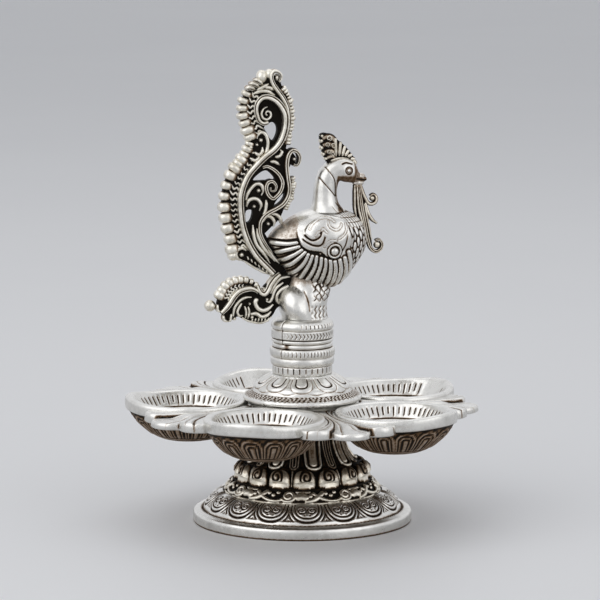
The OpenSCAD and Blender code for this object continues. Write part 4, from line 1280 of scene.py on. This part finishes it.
def garland():
    strands = [([(20.9, 133.6), (20.9, 129), (21, 124.5), (21.7, 120.6)], 0.62, FLANKED),
               ([(21.9, 134), (22.1, 129), (22.6, 124), (23.7, 119.6), (25.2, 115)], 0.62, FLANKED),
               ([(22.8, 134), (23.3, 129), (24.1, 123.5), (25.2, 118), (26.2, 112.5), (27.4, 108.6),
                 (29.6, 106.9), (31.7, 108), (32.2, 110), (31, 111.7), (29.4, 111.3)], 0.8, DOUBLE),
               ([(23.4, 133.8), (24.3, 130.5), (25.3, 128.2), (26.4, 126.4), (28, 125.9), (29.5, 126.8),
                 (29.7, 128.6), (28.6, 129.8), (27.3, 129.2)], 0.8, FLANKED),
               ([(25.3, 126.5), (26.3, 122.8), (28, 119.8), (30, 118.2)], 0.75, FLANKED),
               ([(24.9, 126), (26, 120.5), (27.1, 115.2), (27.8, 111.4)], 0.55, FLANKED)]
    back = [(20.5, 133.5), (20.6, 127), (20.9, 121.2), (22.6, 119.6), (25, 113.6), (26.4, 109.4),
            (28.2, 108.4), (27.6, 114), (26.5, 121), (25.3, 127), (24, 133.5)]
    shells = Casting().add(*filled(back, [], 0.9, 0.95))
    for points, wide, section in strands:
        co, faces, dark = strand(points, wide, 1.6, section, 0.7, 0.6)
        shells.add(co, faces, dark + 0.12 + 0.2 * rise(co[:, 2], 124, 131))
    shells.add(*ball((22.3, 0, 133.2), (1.8, 1.5, 1.0), dark=0.5))
    add_beads(shells, [((28.2, 128.2), 1.2), ((30.2, 109.6), 1.5)], 1.6)
    place_bird("garland_casting", shells, AGED, "aged_silver", "beak_garland")


def gadroon(name, long, wide, deep):
    """One bulb of an openwork edge, dark where it meets the next, with painted shade darkening it towards its
    inner end.
    """
    co, faces, _ = ball((0, 0, 0), (wide, deep, long), 20, 32, square=0.8)
    sides = 0.7 * rise(np.abs(co[:, 0]) / wide, 0.72, 1.0)
    # The inner end is darkened: painted shade fading from the bright outer tip.
    return loose(name, Casting().add(co, faces, sides + 0.6 * rise(-co[:, 2] / long, 0.0, 0.9)))


def loose(name, shells):
    """One piece that is copied along a row."""
    source = cast(name, shells, rounds=2, gain=0.6)
    source.data.materials.append(DARK)
    return source


def place_row(name, source, path, count, unevenness, taper, seed):
    """Sets a row of the peacock in its place."""
    row = row_of(name, source, path, count, unevenness, taper, seed, DARK)
    place_piece(turn_bird(row), DARK, "dark_silver", "peacock")


FLICK = [(1.8, 2.3), (0.1, 0.9), (1.0, -0.3), (-1.4, -2.1)]
PLUME_LEFT_LOW = [(-28.2, 109.4), (-28.9, 113.7), (-30, 117.6), (-30.9, 122.1), (-31.4, 126.6),
                  (-31.3, 131.2), (-30.3, 135.4), (-28.9, 138.5), (-27.1, 141.2), (-25.3, 143.6),
                  (-23.5, 146)]
PLUME_LEFT_HIGH = [(-20.8, 153.7), (-22.4, 157.6), (-23.6, 161.2), (-24, 164.5), (-23.6, 167.6),
                   (-22.3, 170.4)]
PLUME_RIGHT_HIGH = [(-7.9, 172.2), (-6.2, 169.8), (-5.2, 167), (-4.6, 164), (-4.5, 161), (-4.8, 157.6),
                    (-5.6, 154.2), (-6.2, 151)]
PLUME_RIGHT_LOW = [(-4.3, 136.9), (-4.3, 131.3), (-7, 125.2)]


def plume():
    spine = [(-12.1, 99.5), (-14.4, 101.9), (-18.4, 106), (-21.1, 110), (-23.1, 114.3), (-24.4, 118.6),
             (-25, 122.5), (-25.3, 126.5), (-25.2, 130.7), (-24, 135), (-22.3, 138.5), (-19.7, 141.7),
             (-15.7, 145.6), (-11.9, 148.5), (-9.3, 151.7), (-7.8, 155.4), (-7.2, 159.2), (-7.5, 162.7),
             (-9.1, 165.7), (-11.1, 167.8), (-13.6, 169.1), (-16.2, 169.1), (-18.2, 167.4), (-19, 164.9),
             (-18.7, 162.2), (-17.7, 159.9), (-16, 158.8), (-14.2, 159.2)]
    stem = [(-4, 142.4), (-2.8, 142), (-1.7, 143.2), (-1.5, 145.6), (-2.7, 147.5), (-4.6, 147.9),
            (-6.1, 146.1), (-6.7, 142.8), (-6.5, 139.4), (-6.1, 136.2), (-5.7, 132.9), (-6.4, 129.7),
            (-8.2, 127), (-10.9, 125.2), (-13.6, 123.9), (-15.9, 122.2), (-17.3, 119.9), (-17.5, 117.1),
            (-17, 114.5), (-15.4, 111.5), (-13, 108)]
    ring = [(-16.4, 141.5), (-14.4, 141.9), (-11.4, 140.2), (-9.3, 137.8), (-8.4, 134.9), (-9.3, 131.9),
            (-11.1, 129.9), (-12.4, 129.2), (-14.2, 130.8), (-15, 133.5), (-14.2, 135.5), (-12.4, 135.9),
            (-11, 134.2), (-11.4, 132.3), (-13.1, 132.3), (-13.2, 133.6)]
    top_stem = [(-7.4, 151.9), (-6.1, 156), (-5.8, 159.8), (-6, 163.2), (-6.7, 165.9), (-8.2, 168.8),
                (-10.1, 171.4), (-11.8, 173.8), (-12.8, 176.1), (-12.7, 178), (-11.8, 179.1), (-10.4, 179.1),
                (-9, 178), (-8.8, 176.4), (-9.7, 175)]
    fine = [[(-23, 128.8), (-22.5, 131), (-21, 133.4), (-19, 135.1), (-16.9, 134.7), (-16.1, 132.5),
             (-16.9, 130.5)],
            [(-22.8, 126.2), (-22, 128.5), (-20, 129.4), (-18, 128.7), (-17, 126.7), (-17.7, 124.4)],
            [(-15, 128.7), (-14.9, 126.7), (-15.4, 124), (-16.7, 121.4)],
            [(-16.4, 119.9), (-15.5, 121.7), (-14.2, 122.3), (-12.7, 121.6), (-11.7, 119.9), (-12.1, 118)],
            [(-13.1, 123.3), (-10.9, 122.8), (-9.3, 121.2), (-8.6, 119)],
            [(-20.3, 118.9), (-20, 114.9), (-18.7, 110.9), (-15.7, 107.2), (-13.4, 103.5)],
            [(-18.6, 117.5), (-18.2, 114.5), (-16.6, 110.9), (-14.2, 107.6), (-11.4, 104.2)],
            [(-14, 109), (-12, 106), (-9.6, 103.4)],
            [(-23, 108.9), (-24.6, 109.9), (-26.5, 109.2), (-27.1, 107.4), (-26.3, 105.7), (-24.6, 105)],
            [(-16.7, 145.1), (-15, 147.3), (-14.3, 150), (-14.4, 152.6), (-15.2, 154.6), (-16.7, 155.4),
             (-18.3, 154.1), (-18.5, 152.9)], [(-11.4, 145.6), (-9.6, 145.9), (-8.6, 147.4), (-9.4, 148.4)],
            [(-13.4, 143.8), (-11.4, 143.6), (-9.4, 142.2)],
            [(-19.6, 147.6), (-17.9, 146.6), (-16.6, 147.6), (-16.4, 149.6)],
            [(-21.4, 145.4), (-19.6, 144.4), (-18.2, 145), (-17.6, 146.4)],
            [(-20, 170.6), (-17.2, 171.5), (-14.2, 171.4), (-11.4, 169.8)],
            [(-18.6, 172), (-16, 173.2), (-13.8, 174.4)], [(-15.4, 173), (-13.4, 172.8), (-11.8, 171.8)]]
    eye = [(-14.4, 165.4), (-16, 164.6), (-16.8, 162.8), (-16.2, 161), (-14.5, 160.4), (-13.1, 161.6),
           (-13.3, 163.2), (-14.6, 163.6), (-15.1, 162.6), (-14.5, 162)]
    edge = [(-24.6, 105), (-23.6, 104.6), (-20, 102.2), (-16.4, 100.2), (-13, 98.8)]
    beads = [((-18, 132.5), 1.0), ((-19.8, 126.2), 0.95), ((-14.2, 119.2), 1.0), ((-24.8, 107.2), 1.15),
             ((-17, 152.3), 1.05), ((-3.7, 144.6), 1.1), ((-18.6, 150.6), 0.8), ((-20.9, 149.6), 0.9),
             ((-20.2, 147.4), 0.7)]
    lobes = [((-28, 106.9), (2.3, 2.9, 2.2)), ((-16.3, 177), (2.3, 2.7, 2.8)),
             ((-13.3, 178), (1.9, 2.7, 2.1)), ((-10.5, 176.6), (0.95, 2.5, 1.5))]
    holes = [[(-20.1, 136.5), (-17.8, 139.1), (-15.1, 140.3), (-12.8, 138.9), (-11.4, 136.6), (-15.8, 136.3)],
             [(-12.1, 124.7), (-11.5, 127.1), (-9.8, 129.4), (-7.5, 131.3), (-8.1, 128.3), (-10.1, 126)],
             [(-23, 124.4), (-20.4, 124.7), (-20.5, 122.1), (-21.5, 120.1), (-23, 120.2)],
             [(-15.7, 157.2), (-14.2, 158.6), (-12.4, 159.3), (-10.8, 158.2), (-10.3, 156), (-10.9, 153.6),
              (-12, 152), (-13.3, 152.8), (-14.4, 154.8)]]
    back = np.concatenate([[(-6.5, 101), (-11, 98.6), (-13.2, 99.6), (-19.9, 102.6), (-26, 105.4)],
                           inset(PLUME_LEFT_LOW, -0.9), [(-22.4, 149)], inset(PLUME_LEFT_HIGH, -0.6),
                           [(-20, 172.6), (-17, 174.2), (-15, 177), (-12, 178), (-9.4, 176), (-8.4, 173)],
                           inset(PLUME_RIGHT_HIGH, 0.3),
                           [(-6.9, 148.8), (-4.4, 147.4), (-3, 145.4), (-3.2, 143), (-5, 142.4), (-6.2, 140)],
                           inset(PLUME_RIGHT_LOW, 0.6),
                           [(-9.4, 121), (-12.1, 118.6), (-15.4, 115.4), (-13, 111), (-7.5, 110)]])
    shells = Casting().add(*filled(back, [smooth_path(h, 4, closed=True) for h in holes], 1.6, 1.0))
    strands = [(spine, 1.35, 4.2, LINED, 0.9, 0.6), (stem, 0.95, 3.6, DOUBLE, 0.6, 0.6),
               (ring, 0.85, 3.2, DOUBLE, 0.8, 0.5), (top_stem, 0.95, 3.2, LINED, 0.6, 0.5),
               *[(path, 0.85, 2.9, RIDGE, 0.6, 0.45) for path in fine],
               (eye, 0.58, 2.9, RIDGE, 0.5, 0.7), (edge, 0.5, 2.8)]
    for shape in strands:
        shells.add(*strand(*shape))
    add_beads(shells, beads, 3.0)
    for spot, radii in lobes:
        shells.add(*ball((spot[0], 0, spot[1]), radii))
    for path in ([(-22.9, 172.6), (-21.2, 172.9), (-19.2, 172.2)],
                 [(-21.4, 174.4), (-19.6, 174.3), (-17.6, 173.2)],
                 [(-19.6, 175.9), (-18, 175.5), (-16.2, 174)]):
        shells.add(*strand(path, 0.95, 2.9, LINED, 0.5, 0.4))
    for k in range(7):
        shells.add(*strand([(-22.6 + 1.5 * k, 106.6 - 1.15 * k), (-21.9 + 1.5 * k, 105 - 1.1 * k)], 0.4, 2.4))
    place_bird("plume_casting", shells, DARK, "dark_silver", "tail_plume")

    bulb = gadroon("plume_bulb", 2.7, 2.15, 3.1)
    flame = gadroon("plume_flame", 2.9, 1.65, 3.0)
    tooth = gadroon("plume_tooth", 1.4, 0.8, 2.5)
    flick = loose("plume_flick", Casting().add(*strand(FLICK, 0.55, 2.3)))
    bend = PLUME_LEFT_LOW[8:] + [(-22.2, 148.4), (-21.2, 150.8)]
    rows = [("plume_gadroons_low", bulb, PLUME_LEFT_LOW[:8], 8, 0.1, 0.12, 3),
            ("plume_gadroons_bend", flame, bend, 6, 0.12, 0.25, 4),
            ("plume_gadroons_high", flame, PLUME_LEFT_HIGH, 7, 0.12, 0.22, 5),
            ("plume_teeth_high", tooth, PLUME_RIGHT_HIGH, 17, 0.22, 0.0, 7),
            ("plume_teeth_low", tooth, PLUME_RIGHT_LOW, 12, 0.22, 0.0, 9),
            ("plume_flicks_low", flick, inset(PLUME_LEFT_LOW, 3.9), 18, 0.12, 0.2, 13),
            ("plume_flicks_high", flick, inset(PLUME_LEFT_HIGH, 3.6), 8, 0.12, 0.0, 15)]
    for name, source, path, count, unevenness, taper, seed in rows:
        place_row(name, source, smooth_path(path, 6), count, unevenness, taper, seed)
    for source in (bulb, flame, tooth, flick):
        bpy.data.objects.remove(source)


def lower_tail():
    top = [(-33.4, 91.1), (-31.2, 94.6), (-28.9, 96.3), (-26.6, 96.9), (-24.8, 97.1), (-22.6, 96.9),
           (-20.4, 96), (-18.9, 94.9)]
    broad = [([(-32.9, 84.3), (-31, 86.2), (-29.4, 88.3), (-27.8, 90.7), (-25.9, 92.5), (-23.8, 93.4),
               (-21.3, 93.7), (-19.5, 93.1), (-18.1, 92.1)], 1.2),
             ([(-9.4, 99.2), (-11.1, 98), (-12, 96.9), (-13.3, 95.1), (-14.2, 93.2), (-15.4, 91.6),
               (-16.8, 91.8), (-17.8, 93.3), (-18.2, 94.8)], 1.2)]
    fine = [([(-28.2, 82.9), (-27.8, 85.9), (-26.5, 88), (-24.8, 89.5), (-23, 90.2), (-20.8, 90.2)], 0.7),
            ([(-8.1, 95.7), (-10.6, 93.9), (-11.9, 91.8), (-12.5, 89.7), (-13.5, 88.1), (-14.9, 88.5)], 0.7),
            ([(-5.4, 98), (-8.6, 97.6), (-10.6, 96), (-12, 93.8), (-13.2, 91.4)], 0.7),
            ([(-6, 94.5), (-9, 92.8), (-10.6, 90.7), (-10.6, 88.5), (-9.5, 87.3), (-8.7, 87.7)], 0.75),
            ([(-18.3, 88.8), (-19.1, 89.3), (-19.3, 87.7), (-18.1, 85.6), (-16, 84.8), (-13.8, 85.6),
              (-12.1, 87.1)], 0.95),
            ([(-21.2, 83.5), (-18.9, 83.6), (-16.8, 82.3), (-14.6, 82.8), (-12.9, 84.3)], 0.85),
            ([(-24.8, 87.9), (-25.8, 86.3), (-26.5, 84.5), (-25.8, 83), (-24.3, 83)], 0.65),
            ([(-23.6, 86.7), (-23, 84.3), (-23.3, 82)], 0.55),
            ([(-22.2, 86.5), (-21.8, 84.2), (-22.4, 81.7)], 0.55),
            ([(-34.4, 87.6), (-34.4, 85.5), (-33.2, 84.7)], 0.6),
            ([(-32.1, 83.3), (-31.8, 81.4), (-30.2, 80.8)], 0.6),
            ([(-29, 83.8), (-29.3, 81.4), (-30.2, 80.8)], 0.6),
            ([(-24.6, 82.2), (-22.4, 80.9), (-20, 80.2), (-17.6, 79.8), (-15.2, 80.4), (-12.7, 82.3)], 0.5)]
    beads = [((-27.6, 81.8), 0.85), ((-20.6, 82.2), 0.9), ((-15.7, 93.2), 0.9), ((-14.6, 89.2), 0.8),
             ((-9.4, 88.9), 0.85), ((-21.6, 87.6), 0.7), ((-19, 88.6), 1.1)]
    back = smooth_path([(-3.4, 99.2), (-8.4, 99.8), (-11.6, 97.8), (-15.4, 94.6), (-17.4, 92.8),
                        (-18.9, 95.2), (-21, 96.6), (-24.8, 97.3), (-28.6, 96.6), (-31.6, 94.4),
                        (-33.4, 91.2), (-34.6, 88), (-34.2, 85.6), (-32, 83), (-30.4, 81), (-28.6, 81.4),
                        (-26.4, 82.6), (-24, 81.6), (-18, 79.9), (-14.8, 80.6), (-12.2, 82.8), (-10.4, 85.6),
                        (-5.4, 89.4)], 5, closed=True)
    shells = Casting().add(*filled(back, [], 1.2, 1.0))
    for path, wide in broad:
        shells.add(*strand(path, wide, 3.2, LINED, 0.8, 0.6))
    for path, wide in fine:
        shells.add(*strand(path, wide, 2.5, RIDGE, 0.7, 0.5))
    add_beads(shells, beads, 2.5)
    add_beads(shells, [((-37.2, 87.1), 2.3)], 2.4)
    for k in range(6):
        u = -20.4 + 1.3 * k
        shells.add(*strand([(u, 81.9), (u - 0.4, 80.2)], 0.4, 2.2))
    place_bird("lower_tail_casting", shells, DARK, "dark_silver", "lower_tail")

    bulb = gadroon("tail_bulb", 2.3, 1.75, 2.5)
    flick = loose("tail_flick", Casting().add(*strand(FLICK, 0.55, 2.0)))
    place_row("lower_tail_gadroons", bulb, smooth_path(top, 6), 9, 0.06, 0.45, 11)
    place_row("lower_tail_flicks", flick, inset(top, 2.9), 10, 0.06, 0.5, 17)
    for source in (bulb, flick):
        bpy.data.objects.remove(source)


foot()
pedestal()
tray_cups()
tray_plate()
collar()
pillar()
peacock_body()
neck_head()
crest()
garland()
plume()
lower_tail()


# Hardware under the foot keeps its solids
for name in ("tie_rod", "clamp_washer", "lock_washer", "clamp_nut"):
    node = frame["nodes"][name]
    node.data.materials.clear()
    node.data.materials.append(STEEL)


# Floor, light and camera

def floor():
    data = bpy.data.meshes.new("floor")
    radius, corners = 4.5, 128
    edge = np.arange(corners) * TURN / corners
    data.from_pydata([(radius * math.cos(a), radius * math.sin(a), 0) for a in edge], [], [range(corners)])
    mat, tree, shader, place = new_finish("pale_floor")
    shade = noise(tree, place, 3.0)
    tree.links.new(blend(tree, shade, (0.80, 0.80, 0.81), (0.84, 0.84, 0.845)), shader.inputs["Base Color"])
    shader.inputs["Roughness"].default_value = 0.55
    data.materials.append(mat)
    plane = new_object("floor", data)


def world():
    studio = bpy.data.worlds.new("studio")
    bpy.context.scene.world = studio
    studio.use_nodes = True
    tree = studio.node_tree
    path = tree.nodes.new("ShaderNodeLightPath")
    seen = math_node(tree, "MAXIMUM", path.outputs["Is Camera Ray"], path.outputs["Is Glossy Ray"])
    seen = math_node(tree, "MAXIMUM", seen, path.outputs["Is Transmission Ray"])
    back = tree.nodes["Background"]
    tree.links.new(blend(tree, seen, (0.42, 0.43, 0.45), (0.86, 0.87, 0.90)), back.inputs["Color"])
    back.inputs["Strength"].default_value = 1.0


def lamp(name, spot, aim, size, power):
    data = bpy.data.lights.new(name, "AREA")
    data.shape = "RECTANGLE"
    data.size, data.size_y = size
    data.energy = power
    light = new_object(name, data)
    light.location = spot
    away = np.array(spot) - np.array(aim)
    tilt = math.acos(away[2] / np.linalg.norm(away))
    light.rotation_euler = (tilt, 0, math.atan2(away[1], away[0]) + math.pi / 2)


def camera():
    reach, high, azimuth, pitch, shift = 1.4198, 0.29435, math.radians(1), math.radians(8.26), -0.00092
    data = bpy.data.cameras.new("camera")
    data.lens = 217.5
    data.sensor_width = 36
    eye = new_object("camera", data)
    eye.location = (math.sin(azimuth) * reach + math.cos(azimuth) * shift,
                    -math.cos(azimuth) * reach + math.sin(azimuth) * shift, high)
    eye.rotation_euler = (math.pi / 2 - pitch, 0, azimuth)
    bpy.context.scene.camera = eye


floor()
world()
lamp("window", (-0.9, -0.7, 0.9), (0, 0, 0.1), (1.6, 1.6), 7.0)
lamp("fill", (1.1, -0.8, 0.6), (0, 0, 0.1), (1.3, 1.3), 3.3)
lamp("overhead", (0.1, 0.5, 1.3), (0, 0, 0.1), (1.4, 1.2), 2.8)
camera()
bpy.context.scene.view_settings.view_transform = "Standard"
